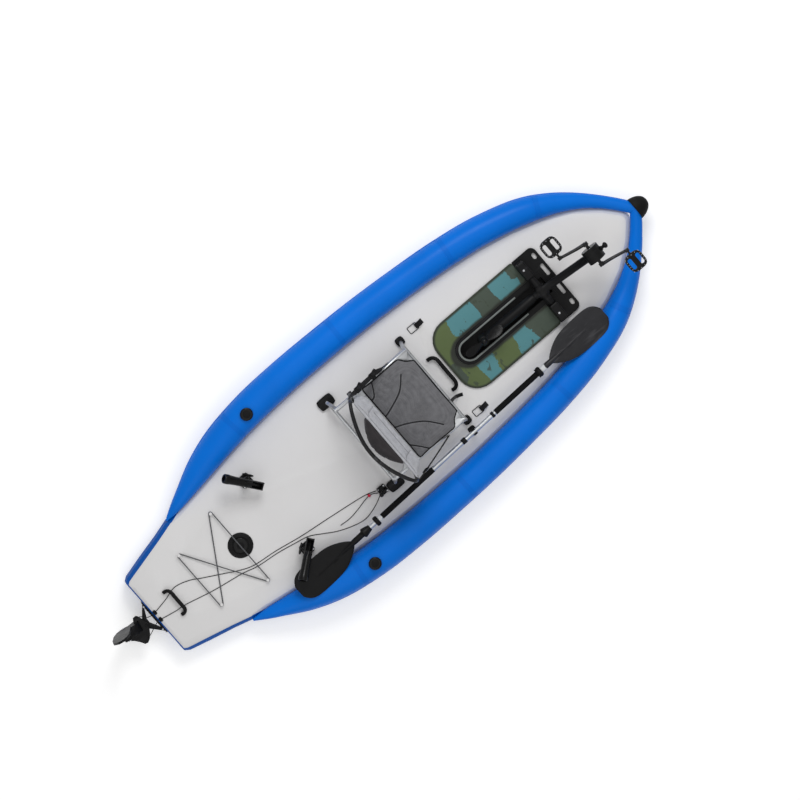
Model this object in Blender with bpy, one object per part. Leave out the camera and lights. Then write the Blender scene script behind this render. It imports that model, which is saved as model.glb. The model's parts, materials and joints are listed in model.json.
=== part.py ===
"""Inflatable pedal fishing boat: a drop-stitch floor between two tapered side tubes,
with a tilting pedal drive, folding seat, rudder, rod holders and a two-blade paddle.

Metres, +Z up. +X runs to the bow and +Y to port. The origin is under the middle of the
boat, on the ground. Lengths called D_ are measured forward from the transom.
"""
import math

import bmesh
import bpy
import numpy as np
from mathutils import Matrix, Vector

# Overall sizes
HULL_LENGTH = 3.24
RUDDER_OVERHANG = 0.225
TRANSOM_X = -(HULL_LENGTH + RUDDER_OVERHANG) / 2 + RUDDER_OVERHANG
GAP = 0.0003
PIN_CLEARANCE = 0.0004
WELD = 0.00001
ROUND_SIDES = 16

# Floor
FLOOR_THICKNESS = 0.13
ROCKER_START_D = 2.80
ROCKER_RISE = 0.05
TRANSOM_BULGE = 0.030
TRANSOM_FLAT_CUT = 0.022
RAIL_STEP = math.radians(30)
STERN_RAIL = ((0.0, 0.185), (0.15, 0.217), (0.275, 0.247))

# Side tubes: distance from the transom, half width of the centre line, radius
TUBE_STATIONS = (
    (0.36, 0.335, 0.006),
    (0.44, 0.359, 0.028),
    (0.525, 0.387, 0.044),
    (0.65, 0.428, 0.066),
    (0.775, 0.461, 0.079),
    (1.025, 0.499, 0.0865),
    (1.275, 0.511, 0.086),
    (1.525, 0.510, 0.084),
    (1.775, 0.5025, 0.0825),
    (2.025, 0.486, 0.081),
    (2.275, 0.4615, 0.080),
    (2.525, 0.419, 0.076),
    (2.775, 0.3375, 0.066),
    (2.90, 0.269, 0.051),
    (3.025, 0.170, 0.037),
    (3.125, 0.060, 0.032),
    (3.17, 0.0, 0.031),
    (3.22, -0.065, 0.030),
)
TUBE_SIDES = 12
BOW_CAP_D = 3.165
BOW_CAP_HALF_WIDTH = 0.062
BOW_CAP_HEIGHT = 0.088

# Air valves
TUBE_VALVE_D = 1.018
TUBE_VALVE_DEPTH = 0.012
TUBE_VALVE_HEIGHT = 0.0035
TUBE_VALVE_FLANGE = 0.030
TUBE_VALVE_CAP = 0.033
FLOOR_VALVE_D = 0.562
FLOOR_VALVE_RADIUS = 0.066
FLOOR_VALVE_RIM = 0.007
FLOOR_VALVE_CAP = 0.040

# Deck fittings
REAR_ANCHOR = (0.296, 0.165)
FRONT_ANCHOR = (0.5525, 0.2225)
ANCHOR_STEM = 0.005
BUNGEE_RADIUS = 0.003
STERN_HANDLE_D = 0.145
STERN_HANDLE_FOOT = (STERN_HANDLE_D - 0.032, 0.072)
MIDDLE_HANDLE_D = 1.918
MIDDLE_HANDLE_FOOT = (MIDDLE_HANDLE_D - 0.040, 0.098)
HANDLE_RADIUS = 0.010
HANDLE_LIFT = 0.018
PATCH_THICKNESS = 0.002
TIE_DOWNS = ((1.955, 0.27), (1.935, -0.265))
TIE_WIRE = 0.002
TIE_AXLE_HEIGHT = 0.0055
TIE_WIDTH = 0.036
TIE_LENGTH = 0.052

# Drive well and the pad round it
PLATE_REAR_D = MIDDLE_HANDLE_D + 0.022
PLATE_FRONT_D = 2.515
PLATE_HALF_WIDTH = 0.20
PLATE_THICKNESS = 0.012
BRACKET_FRONT_D = 2.65
WELL_REAR_D = PLATE_REAR_D + 0.088
WELL_FRONT_D = 2.585
WELL_HALF_WIDTH = 0.0475
WELL_WALL = 0.005
WELL_FLANGE = 0.0225
WELL_FRONT_FLANGE = 0.008
TRIM_WIDTH = 0.018
TRIM_HEIGHT = 0.010
TRIM_FRONT_D = 2.42
BRACKET_THICKNESS = 0.014
PIVOT_BLOCK_INNER_Y = 0.085
PIVOT_BLOCK_OUTER_Y = 0.18
PIVOT_BLOCK_LENGTH = 0.046
PIVOT_BLOCK_RISE = 0.028
TRUNNION_R = 0.010

# Drive
PIVOT_D = 2.54
PIVOT_Z = 0.198
CRANK_D = 2.845
CRANK_Z = 0.388
GEAR_CASE_D = 2.16
GEAR_CASE_Z = 0.176
CRANK_ARM = 0.140
HUB_Y = 0.0675
ARM_FLARE = 0.026
AXLE_R = 0.009
PEDAL_AXLE_R = 0.006
PEDAL_HALF_THICK = 0.010
CASE_RADIUS = 0.048
CASE_HALF_WIDTH = 0.035
CASE_WALL = 0.004
NECK_RADIUS = 0.0215
ELBOW_RADIUS = 0.030
ELBOW_HALF_WIDTH = 0.030
ELBOW_FACE = 0.045
ELBOW_CAVITY = 0.0185
SHAFT_BORE = 0.0155
KNOB_TILT = math.radians(12)
MESH_GAP = 0.0004
CRANK_GEAR_R = 0.036
NECK_PINION_R = 0.012
LEG_GEAR_R = 0.024
PROPELLER_PINION_R = 0.009
ELBOW_GEAR_R = 0.014
DRIVE_SHAFT_R = 0.006
LEG_HALF_WIDTH = 0.026
LEG_HALF_CHORD = 0.031
GEAR_CASE_R = 0.033
GEAR_CASE_NOSE = -0.070
GEAR_CASE_TAIL = 0.045
PROPELLER_SHAFT_R = 0.005
PROPELLER_HUB_R = 0.017
PROPELLER_HUB_END = 0.086
BLADE_ROW = 0.065
PEDAL_Y = 0.165
PEDAL_SIZE = 0.095
PROPELLER_RADIUS = 0.115

# Seat
SIDE_TUBE_Y = 0.2275
SEAT_Z = 0.275
SEAT_TUBE_R = 0.011
CROSS_TUBE_R = 0.009
SEAT_REAR_FOOT = (1.356, 0.272)
SEAT_FRONT_FOOT = (1.836, 0.262)
CUSHION_REAR_D = 1.525
CUSHION_FRONT_D = 1.838
CUSHION_HALF_WIDTH = 0.2385
CUSHION_NOTCH = 0.066
BACK_HINGE_D = 1.475
BACK_HINGE_Z = 0.325
BACK_PIN_R = 0.004
BACK_RECLINE = math.radians(5)
BACK_TUBE_R = 0.010
BACK_TUBE_Y = 0.252
LUMBAR_DEPTH = 0.034
STRAP_THICKNESS = 0.0022
STRAP_WIDTH = 0.022

# Rudder
PINTLE_D = -0.062
PINTLE_R = 0.005
BRACKET_NOSE_R = 0.018
BRACKET_HALF_WIDTH = 0.100
LOW_PLATE_Z = (0.042, 0.052)
TOP_PLATE_Z = (0.078, 0.088)
RUDDER_REST_TURN = math.radians(-10)
BLADE_SIDE = 0.045
BLADE_THICKNESS = 0.012
BLADE_PIN_Z = 0.168
BLADE_PIN_R = 0.005
BLADE_LENGTH = 0.27
BLADE_CHORD_FRONT = -0.045
BLADE_CHORD_REAR = 0.055
BLADE_RAISE = math.radians(85)
YOKE_HALF_WIDTH = 0.070
YOKE_Z = (0.113, 0.122)

# Steering
LINE_RADIUS = 0.0015
BEAD_R = 0.009
LEASH_BEAD = (1.215, -0.232)
LEASH_END = (1.008, -0.254)
STEERING_BOX = (1.285, -0.252)
LEVER_Z = 0.156
LEVER_PIN_R = 0.0035

# Paddle
PADDLE_BOW_TIP_D = 2.713
PADDLE_STERN_TIP_D = 0.632
PADDLE_Y_AT_BOW = -0.288
PADDLE_Y_AT_STERN = -0.362
PADDLE_SHAFT_R = 0.0125
PADDLE_GRIP_R = 0.0155
PADDLE_SOCKET_R = 0.0165
PADDLE_BLADE_LENGTH = 0.37
PADDLE_BLADE_WIDTH = 0.168
PADDLE_BLADE_HALF_THICK = 0.004
PADDLE_LOWEST_Z = FLOOR_THICKNESS + PADDLE_SOCKET_R + 0.020
CLIP_D = 1.825

# Rod holders
ROD_BASE_SIZE = 0.064
ROD_BASE_HEIGHT = 0.016
ROD_ROTOR_R = 0.024
ROD_PIVOT_Z = 0.064
ROD_PIN_R = 0.004
ROD_TUBE_R = 0.022
ROD_TUBE_BORE = 0.018
ROD_TUBE_LENGTH = 0.22
ROD_TUBE_RISE = math.radians(20)
ROD_HOLDERS = (
    ("port", 0.793, 0.235, 125.0, 0.36),
    ("starboard", 0.805, -0.230, 217.0, 0.24),
)

for old in list(bpy.data.objects):
    bpy.data.objects.remove(old, do_unlink=True)


def at(d):
    """World X of a distance forward of the transom."""
    return TRANSOM_X + d


def material(name, color, roughness, metallic=0.0):
    mat = bpy.data.materials.new(name)
    mat.use_nodes = True
    mat.diffuse_color = (*color, 1.0)
    shader = mat.node_tree.nodes["Principled BSDF"]
    shader.inputs["Base Color"].default_value = (*color, 1.0)
    shader.inputs["Roughness"].default_value = roughness
    shader.inputs["Metallic"].default_value = metallic
    return mat


BLUE = material("blue_vinyl", (0.0, 0.13, 0.64), 0.35)
WHITE = material("white_deck", (0.68, 0.68, 0.68), 0.5)
BLACK = material("black_plastic", (0.014, 0.014, 0.015), 0.45)
GREY_PATCH = material("grey_vinyl", (0.35, 0.36, 0.37), 0.5)
FABRIC = material("grey_fabric", (0.15, 0.155, 0.16), 0.9)
DARK_FABRIC = material("dark_fabric", (0.035, 0.032, 0.034), 0.9)
ALUMINIUM = material("aluminium_tube", (0.78, 0.79, 0.8), 0.3, 1.0)
STEEL = material("stainless_steel", (0.62, 0.63, 0.65), 0.25, 1.0)
CAMO = material("camouflage_pad", (0.08, 0.14, 0.08), 0.7)
CORD = material("dark_cord", (0.05, 0.05, 0.055), 0.8)
RED = material("red_bead", (0.55, 0.01, 0.05), 0.35)
GRIP = material("foam_grip", (0.012, 0.012, 0.013), 0.85)
BLADE = material("dark_blade", (0.032, 0.032, 0.034), 0.4)
STEEL_DARK = material("dark_steel", (0.1, 0.1, 0.105), 0.35, 1.0)


def finish_object(name, bm, mat, pivot=None, smooth_angle=35):
    """Makes the named object; a moving piece gets its origin at pivot, on its joint's axis."""
    bmesh.ops.recalc_face_normals(bm, faces=bm.faces)
    if bm.calc_volume(signed=True) < 0.0:
        bmesh.ops.reverse_faces(bm, faces=bm.faces)
    mesh = bpy.data.meshes.new(name)
    bm.to_mesh(mesh)
    bm.free()
    mesh.materials.append(mat)
    mesh.shade_smooth()
    mesh.set_sharp_from_angle(angle=math.radians(smooth_angle))
    obj = bpy.data.objects.new(name, mesh)
    bpy.context.scene.collection.objects.link(obj)
    if pivot is not None:
        mesh.transform(Matrix.Translation(-Vector(pivot)))
        obj.location = pivot
    return obj


def place(origin, z_axis, x_hint=(1.0, 0.0, 0.0)):
    """Matrix that puts local +Z along z_axis and local +X as near x_hint as it can be."""
    z = Vector(z_axis).normalized()
    hint = Vector(x_hint)
    x = hint - z * hint.dot(z)
    if x.length < 1e-6:
        x = z.orthogonal()
    x.normalize()
    y = z.cross(x)
    turn = Matrix((x, y, z)).transposed().to_4x4()
    return Matrix.Translation(Vector(origin)) @ turn


def add_box(bm, size, matrix, bevel=0.0, segments=1):
    made = bmesh.ops.create_cube(bm, size=1.0, matrix=matrix @ Matrix.Diagonal((*size, 1.0)))
    if bevel > 0.0:
        edges = {e for v in made["verts"] for e in v.link_edges}
        bmesh.ops.bevel(bm, geom=list(edges), offset=bevel, segments=segments,
                        affect="EDGES", profile=0.5, clamp_overlap=True)


def box_at(bm, center, size, bevel=0.0, segments=1):
    add_box(bm, size, Matrix.Translation(Vector(center)), bevel, segments)


def bridge_rings(bm, rings, closed=False):
    """Skins a list of vertex rings; a ring of one vertex is a pole."""
    count = len(rings)
    pairs = [(i, (i + 1) % count) for i in range(count if closed else count - 1)]
    for i, j in pairs:
        low, high = rings[i], rings[j]
        sides = max(len(low), len(high))
        for k in range(sides):
            n = (k + 1) % sides
            quad = [low[k % len(low)], low[n % len(low)], high[n % len(high)], high[k % len(high)]]
            face = []
            for v in quad:
                if v not in face:
                    face.append(v)
            if len(face) > 2:
                bm.faces.new(face)


def add_turned(bm, profile, matrix, sides=ROUND_SIDES, closed=False):
    """Turns a (radius, height) profile about local Z. closed joins its last point to its first."""
    rings = []
    for radius, height in profile:
        if radius <= 0.0:
            rings.append([bm.verts.new(matrix @ Vector((0.0, 0.0, height)))])
            continue
        ring = []
        for k in range(sides):
            a = 2 * math.pi * k / sides
            ring.append(bm.verts.new(matrix @ Vector((radius * math.cos(a), radius * math.sin(a), height))))
        rings.append(ring)
    bridge_rings(bm, rings, closed)


def add_rod(bm, start, end, radius, sides=12, bore=0.0):
    """A round bar from start to end, with a bore through it if one is given."""
    start, end = Vector(start), Vector(end)
    length = (end - start).length
    matrix = place(start, end - start, (0.0, 0.0, 1.0))
    if bore > 0.0:
        profile = [(bore, 0.0), (radius, 0.0), (radius, length), (bore, length)]
        add_turned(bm, profile, matrix, sides, closed=True)
    else:
        add_turned(bm, [(0.0, 0.0), (radius, 0.0), (radius, length), (0.0, length)], matrix, sides)


def add_prism(bm, outline, low, high, matrix, bevel=0.0):
    """Extrudes a flat outline of (x, y) points from low to high along local Z."""
    bottom = [bm.verts.new(matrix @ Vector((x, y, low))) for x, y in outline]
    top = [bm.verts.new(matrix @ Vector((x, y, high))) for x, y in outline]
    bm.faces.new(list(reversed(bottom)))
    cap = bm.faces.new(top)
    bridge_rings(bm, [bottom, top])
    if bevel > 0.0:
        bmesh.ops.bevel(bm, geom=list(cap.edges), offset=bevel, segments=1, affect="EDGES", profile=0.5)


def add_loft(bm, sections):
    """Skins closed sections of points and caps both ends."""
    rings = [[bm.verts.new(Vector(p)) for p in section] for section in sections]
    bm.faces.new(list(reversed(rings[0])))
    bm.faces.new(rings[-1])
    bridge_rings(bm, rings)


def path_frames(points, up=(0.0, 0.0, 1.0)):
    """Tangent and two cross directions at each point of a path, kept upright against up."""
    pts = [Vector(p) for p in points]
    frames = []
    for i, p in enumerate(pts):
        ahead = pts[min(i + 1, len(pts) - 1)]
        behind = pts[max(i - 1, 0)]
        t = (ahead - behind).normalized()
        side = Vector(up).cross(t)
        if side.length < 1e-4:
            side = Vector((0.0, 1.0, 0.0))
        side.normalize()
        frames.append((p, t, side, t.cross(side)))
    return frames


def add_swept(bm, points, radii, sides, up=(0.0, 0.0, 1.0), flat=1.0):
    """Sweeps a round section of the given radii along points; flat scales it along up."""
    sections = []
    for (p, t, side, over), radius in zip(path_frames(points, up), radii):
        ring = []
        for k in range(sides):
            a = 2 * math.pi * k / sides
            ring.append(p + side * (radius * math.cos(a)) + over * (radius * flat * math.sin(a)))
        sections.append(ring)
    add_loft(bm, sections)


def rounded_rectangle(width, height, radius, steps=4):
    """Outline points of a rectangle with round corners, centred, width along x."""
    points = []
    for cx, cy, start in ((1, 1, 0), (-1, 1, 90), (-1, -1, 180), (1, -1, 270)):
        for k in range(steps + 1):
            a = math.radians(start + 90 * k / steps)
            points.append((cx * (width / 2 - radius) + radius * math.cos(a),
                           cy * (height / 2 - radius) + radius * math.sin(a)))
    return points


def combine(obj, other, operation):
    """Applies a boolean of other to obj and removes other."""
    mod = obj.modifiers.new(operation.lower(), "BOOLEAN")
    mod.operation = operation
    mod.solver = "EXACT"
    mod.object = other
    bpy.context.view_layer.update()
    depsgraph = bpy.context.evaluated_depsgraph_get()
    mesh = bpy.data.meshes.new_from_object(obj.evaluated_get(depsgraph))
    mats = list(obj.data.materials)
    obj.modifiers.clear()
    obj.data = mesh
    mesh.materials.clear()
    mesh.materials.append(mats[0])
    bpy.data.objects.remove(other, do_unlink=True)
    bm = bmesh.new()
    bm.from_mesh(mesh)
    bmesh.ops.remove_doubles(bm, verts=bm.verts, dist=WELD)
    bmesh.ops.dissolve_degenerate(bm, edges=bm.edges, dist=WELD)
    bm.to_mesh(mesh)
    bm.free()


def cut(obj, bm):
    combine(obj, finish_object("cutter", bm, BLACK), "DIFFERENCE")


def fuse(obj, bm):
    combine(obj, finish_object("adder", bm, BLACK), "UNION")


def smooth_curve(stations, column):
    """A smooth function of the first column through the values of another column."""
    xs = np.array([s[0] for s in stations])
    ys = np.array([s[column] for s in stations])
    slopes = np.gradient(ys, xs)

    def value(x):
        i = int(np.clip(np.searchsorted(xs, x) - 1, 0, len(xs) - 2))
        h = xs[i + 1] - xs[i]
        t = (x - xs[i]) / h
        a = (1 + 2 * t) * (1 - t) ** 2 * ys[i] + t * (1 - t) ** 2 * h * slopes[i]
        b = t * t * (3 - 2 * t) * ys[i + 1] + t * t * (t - 1) * h * slopes[i + 1]
        return float(a + b)

    return value


tube_center = smooth_curve(TUBE_STATIONS, 1)
tube_radius = smooth_curve(TUBE_STATIONS, 2)


def rise(d):
    """How far the floor has risen above the ground at d, from the bow's rocker."""
    run = HULL_LENGTH - ROCKER_START_D
    return ROCKER_RISE * (max(d - ROCKER_START_D, 0.0) / run) ** 2



def hull_samples(count=20):
    """Distances along the side tubes, closer together towards both ends."""
    first, last = TUBE_STATIONS[0][0], TUBE_STATIONS[-1][0]
    return [first + (last - first) * (1 - math.cos(math.pi * i / count)) / 2 for i in range(count + 1)]


def tube_frame(d):
    """Centre of the port tube at d, its outward direction in plan and its radius."""
    step = 0.002
    run = Vector((2 * step, tube_center(d + step) - tube_center(d - step), 0.0)).normalized()
    outward = Vector((-run.y, run.x, 0.0))
    radius = tube_radius(d)
    reach = radius + FLOOR_THICKNESS / 2 + GAP
    z = FLOOR_THICKNESS / 2 + rise(d) + reach * math.sin(RAIL_STEP)
    return Vector((at(d), tube_center(d), z)), outward, radius


def rail_frame(d):
    """Middle of the floor's round side where the port tube touches it, and its outward direction."""
    center, outward, radius = tube_frame(d)
    reach = radius + FLOOR_THICKNESS / 2 + GAP
    foot = center - outward * (reach * math.cos(RAIL_STEP))
    return Vector((foot.x, foot.y, 0.0)), outward, rise(d)


def rail_stations():
    """Foot, outward direction, bulge and rise of the port side, from the transom to the bow."""
    half = FLOOR_THICKNESS / 2
    corner = Vector((at(TRANSOM_FLAT_CUT), STERN_RAIL[0][1], 0.0))
    stations = []
    for k in range(4):
        turn = math.radians(180 - 90 * k / 3)
        stations.append((corner, Vector((math.cos(turn), math.sin(turn), 0.0)),
                         TRANSOM_BULGE + (half - TRANSOM_BULGE) * k / 3, 0.0))
    for d, y in STERN_RAIL[1:]:
        stations.append((Vector((at(d), y, 0.0)), Vector((-0.22, 1.0, 0.0)).normalized(), half, 0.0))
    previous = None
    for d in hull_samples():
        foot, outward, up = rail_frame(d)
        if foot.y <= 0.0:
            share = previous[0].y / (previous[0].y - foot.y)
            foot = previous[0].lerp(foot, share)
            outward = previous[1].lerp(outward, share).normalized()
            up = previous[2] + (up - previous[2]) * share
            foot.y = 0.0
            start = math.atan2(outward.y, outward.x)
            for k in range(4):
                turn = start * (1 - k / 3)
                stations.append((foot, Vector((math.cos(turn), math.sin(turn), 0.0)), half, up))
            return stations
        stations.append((foot, outward, half, up))
        previous = (foot, outward, up)
    return stations


def slot_outline(margin, front_margin):
    """Outline of the drive well grown by margin: a round end at the rear and a square one in front."""
    front = WELL_FRONT_D + front_margin
    radius = WELL_HALF_WIDTH + margin
    middle = WELL_REAR_D + WELL_HALF_WIDTH
    points = [(at(front), -radius), (at(front), radius)]
    for k in range(9):
        a = math.radians(90 + 180 * k / 8)
        points.append((at(middle) + radius * math.cos(a), radius * math.sin(a)))
    return points


def build_floor():
    """Drop-stitch floor: flat top and bottom, half-round sides, flat transom, well cut through."""
    bm = bmesh.new()
    half = FLOOR_THICKNESS / 2
    rings = []
    for foot, outward, bulge, up in rail_stations():
        port, starboard = [], []
        for k in range(7):
            a = math.radians(-90 + 30 * k)
            x = foot.x + outward.x * bulge * math.cos(a)
            y = foot.y + outward.y * bulge * math.cos(a)
            z = half + up + half * math.sin(a)
            port.append(bm.verts.new((x, y, z)))
            starboard.append(bm.verts.new((x, -y, z)))
        rings.append(port + list(reversed(starboard)))
    bridge_rings(bm, rings)
    first = rings[0]
    for k in range(6):
        bm.faces.new((first[k + 1], first[k], first[-1 - k], first[-2 - k]))
    bmesh.ops.remove_doubles(bm, verts=bm.verts, dist=1e-5)
    bmesh.ops.recalc_face_normals(bm, faces=bm.faces)
    geometry = list(bm.verts) + list(bm.edges) + list(bm.faces)
    bmesh.ops.bisect_plane(bm, geom=geometry, plane_co=(at(0.0), 0, 0), plane_no=(-1, 0, 0),
                           clear_outer=True)
    bmesh.ops.holes_fill(bm, edges=[e for e in bm.edges if e.is_boundary], sides=0)
    floor = finish_object("hull_floor", bm, WHITE, smooth_angle=40)
    cutter = bmesh.new()
    add_prism(cutter, slot_outline(WELL_WALL + GAP, WELL_WALL + GAP), -0.02, 0.2, Matrix.Identity(4))
    cut(floor, cutter)
    return floor


def build_side_tube(name, side):
    """Tapered air tube on one side, cut at the middle and behind the bow cap."""
    bm = bmesh.new()
    sections = []
    for d in hull_samples():
        center, outward, radius = tube_frame(d)
        ring = []
        for k in range(TUBE_SIDES):
            a = 2 * math.pi * k / TUBE_SIDES
            p = center + outward * (radius * math.cos(a)) + Vector((0, 0, radius * math.sin(a)))
            ring.append(Vector((p.x, side * p.y, p.z)))
        sections.append(ring)
    add_loft(bm, sections)
    bmesh.ops.recalc_face_normals(bm, faces=bm.faces)
    for co, no in (((0, side * GAP / 2, 0), (0, -side, 0)), ((at(BOW_CAP_D), 0, 0), (1, 0, 0))):
        geometry = list(bm.verts) + list(bm.edges) + list(bm.faces)
        bmesh.ops.bisect_plane(bm, geom=geometry, plane_co=co, plane_no=no, clear_outer=True)
        bmesh.ops.holes_fill(bm, edges=[e for e in bm.edges if e.is_boundary], sides=0)
    return finish_object(name, bm, BLUE, smooth_angle=60)


def build_bow_cap():
    """Moulded rubber nose that closes both tubes."""
    bm = bmesh.new()
    center, _, _ = tube_frame(BOW_CAP_D)
    length = HULL_LENGTH - BOW_CAP_D
    sections = []
    for share in (0.004, 0.35, 0.65, 0.85, 0.96, 1.0):
        swell = math.sqrt(max(1 - share ** 1.7, 0.0)) * 0.9 + 0.1
        ring = []
        for k in range(14):
            a = 2 * math.pi * k / 14
            ring.append((at(BOW_CAP_D + length * share),
                         BOW_CAP_HALF_WIDTH * swell * math.cos(a),
                         center.z + BOW_CAP_HEIGHT / 2 * swell * math.sin(a)))
        sections.append(ring)
    add_loft(bm, sections)
    return finish_object("bow_cap", bm, BLACK)


def build_hull():
    build_floor()
    build_side_tube("side_tube_port", 1)
    build_side_tube("side_tube_starboard", -1)
    build_bow_cap()


def smooth_route(route, count):
    """Points along a smooth curve through the points of a route."""
    pts = [Vector(p) for p in route]
    spans = len(pts) - 1
    out = []
    for i in range(count + 1):
        u = spans * i / count
        k = min(int(u), spans - 1)
        t = u - k
        p0, p1, p2, p3 = pts[max(k - 1, 0)], pts[k], pts[k + 1], pts[min(k + 2, spans)]
        out.append(0.5 * (2 * p1 + (p2 - p0) * t + (2 * p0 - 5 * p1 + 4 * p2 - p3) * t * t
                          + (3 * p1 - p0 - 3 * p2 + p3) * t ** 3))
    return out


def cord_object(name, paths, radius, mat, resolution=1):
    """Round cords along the given lists of points."""
    data = bpy.data.curves.new(name, "CURVE")
    data.dimensions = "3D"
    data.bevel_depth = radius
    data.bevel_resolution = resolution
    data.use_fill_caps = True
    for path in paths:
        spline = data.splines.new("POLY")
        spline.points.add(len(path) - 1)
        for point, place_at in zip(spline.points, path):
            point.co = (*place_at, 1.0)
    data.materials.append(mat)
    obj = bpy.data.objects.new(name, data)
    bpy.context.scene.collection.objects.link(obj)
    return obj


def build_tube_valves():
    """Each tube's valve is moulded into the crown of the tube, under its cap."""
    for side, name in ((1, "port"), (-1, "starboard")):
        center, _, radius = tube_frame(TUBE_VALVE_D)
        top = Vector((center.x, side * center.y, center.z + radius))
        body = bmesh.new()
        add_turned(body, [(0, -TUBE_VALVE_DEPTH), (TUBE_VALVE_FLANGE, -TUBE_VALVE_DEPTH),
                          (TUBE_VALVE_FLANGE, TUBE_VALVE_HEIGHT), (0, TUBE_VALVE_HEIGHT)],
                   Matrix.Translation(top), 16)
        fuse(bpy.data.objects["side_tube_" + name], body)
        cap = bmesh.new()
        low = TUBE_VALVE_HEIGHT + GAP
        add_turned(cap, [(0, low), (TUBE_VALVE_CAP, low), (TUBE_VALVE_CAP, low + 0.006),
                         (TUBE_VALVE_CAP - 0.004, low + 0.009), (0.012, low + 0.009),
                         (0.009, low + 0.013), (0, low + 0.013)], Matrix.Translation(top), 16)
        finish_object("side_valve_cap_" + name, cap, BLACK, pivot=top)


def build_floor_valve():
    """Round moulding of the floor's own valve, with its screw cap."""
    base = Matrix.Translation((at(FLOOR_VALVE_D), 0.0, FLOOR_THICKNESS + GAP))
    bm = bmesh.new()
    seat = FLOOR_VALVE_CAP + 0.006
    add_turned(bm, [(0, 0), (FLOOR_VALVE_RADIUS, 0), (FLOOR_VALVE_RADIUS, 0.003),
                    (seat + 0.003, FLOOR_VALVE_RIM), (seat, FLOOR_VALVE_RIM), (seat, 0.003), (0, 0.003)],
               base, 20)
    finish_object("floor_valve_body", bm, BLACK)
    cap = bmesh.new()
    low = 0.003 + GAP
    add_turned(cap, [(0, low), (FLOOR_VALVE_CAP, low), (FLOOR_VALVE_CAP, low + 0.006),
                     (FLOOR_VALVE_CAP - 0.004, low + 0.009), (0, low + 0.009)], base, 20)
    finish_object("floor_valve_cap", cap, BLACK, pivot=(at(FLOOR_VALVE_D), 0.0, FLOOR_THICKNESS))


def anchor_spots():
    """Where the four deck buttons of the bungee stand, in the order that the cord takes them."""
    corners = ((REAR_ANCHOR, 1), (REAR_ANCHOR, -1), (FRONT_ANCHOR, 1), (FRONT_ANCHOR, -1))
    return [Vector((at(d), side * y, FLOOR_THICKNESS)) for (d, y), side in corners]


def build_bungee():
    """Shock cord laced once round the four buttons as a star."""
    spots = anchor_spots()
    low = 0.0037 + BUNGEE_RADIUS
    high = low + 2.4 * BUNGEE_RADIUS
    wrap = ANCHOR_STEM + BUNGEE_RADIUS + GAP
    legs = ((0, 1, high, high, 0.0), (1, 2, low, low, 0.0), (2, 3, high, high, 0.010),
            (3, 0, low, low, 2.6 * BUNGEE_RADIUS))
    runs = []
    for i, j, _, _, _ in legs:
        runs.append((spots[j] - spots[i]).normalized())
    points = []
    for index, (i, j, z0, z1, hump) in enumerate(legs):
        along, before, after = runs[index], runs[index - 1], runs[(index + 1) % 4]
        across = Vector((-along.y, along.x, 0.0))
        side0 = -1.0 if before.cross(along).z > 0 else 1.0
        side1 = -1.0 if along.cross(after).z > 0 else 1.0
        a = spots[i] + across * (side0 * wrap) + Vector((0, 0, z0))
        b = spots[j] + across * (side1 * wrap) + Vector((0, 0, z1))
        for k in range(5):
            share = k / 4
            points.append(a.lerp(b, share) + Vector((0, 0, hump * math.sin(math.pi * share) ** 2)))
        if index == 3:
            break
        next_z = legs[index + 1][2]
        turn = math.atan2(along.cross(after).z, along.dot(after))
        for k in range(1, 5):
            arm = Matrix.Rotation(turn * k / 5, 3, "Z") @ (across * (side1 * wrap * 1.06))
            points.append(spots[j] + arm + Vector((0, 0, z1 + (next_z - z1) * k / 5)))
    cord_object("bungee_cord", [points], BUNGEE_RADIUS, CORD)


def handle_points(foot, grip_d, bend):
    """Route of a carry handle from foot to foot, arched forward to grip_d and up off the deck."""
    d, y = foot
    low = FLOOR_THICKNESS + PATCH_THICKNESS + HANDLE_RADIUS * 0.67 + GAP
    high = low + HANDLE_LIFT
    half = [(d, y, low), (d + (grip_d - d) * 0.55, y, low + HANDLE_LIFT * 0.55), (grip_d, y - bend, high),
            (grip_d, (y - bend) / 2, high)]
    route = half + [(grip_d, 0.0, high)] + [(a, -b, c) for a, b, c in reversed(half)]
    return smooth_route([(at(a), b, c) for a, b, c in route], 14)


def build_handles():
    """Soft moulded carry handles."""
    for name, foot, grip, bend in (("stern_handle", STERN_HANDLE_FOOT, STERN_HANDLE_D, 0.014),
                                   ("middle_handle", MIDDLE_HANDLE_FOOT, MIDDLE_HANDLE_D, 0.020)):
        bm = bmesh.new()
        points = handle_points(foot, grip, bend)
        add_swept(bm, points, [HANDLE_RADIUS] * len(points), 8, flat=0.75)
        finish_object(name, bm, BLACK)


def tie_down_axle(index):
    d, y = TIE_DOWNS[index]
    return Vector((at(d), y, FLOOR_THICKNESS + PATCH_THICKNESS + GAP + TIE_AXLE_HEIGHT))


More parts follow.
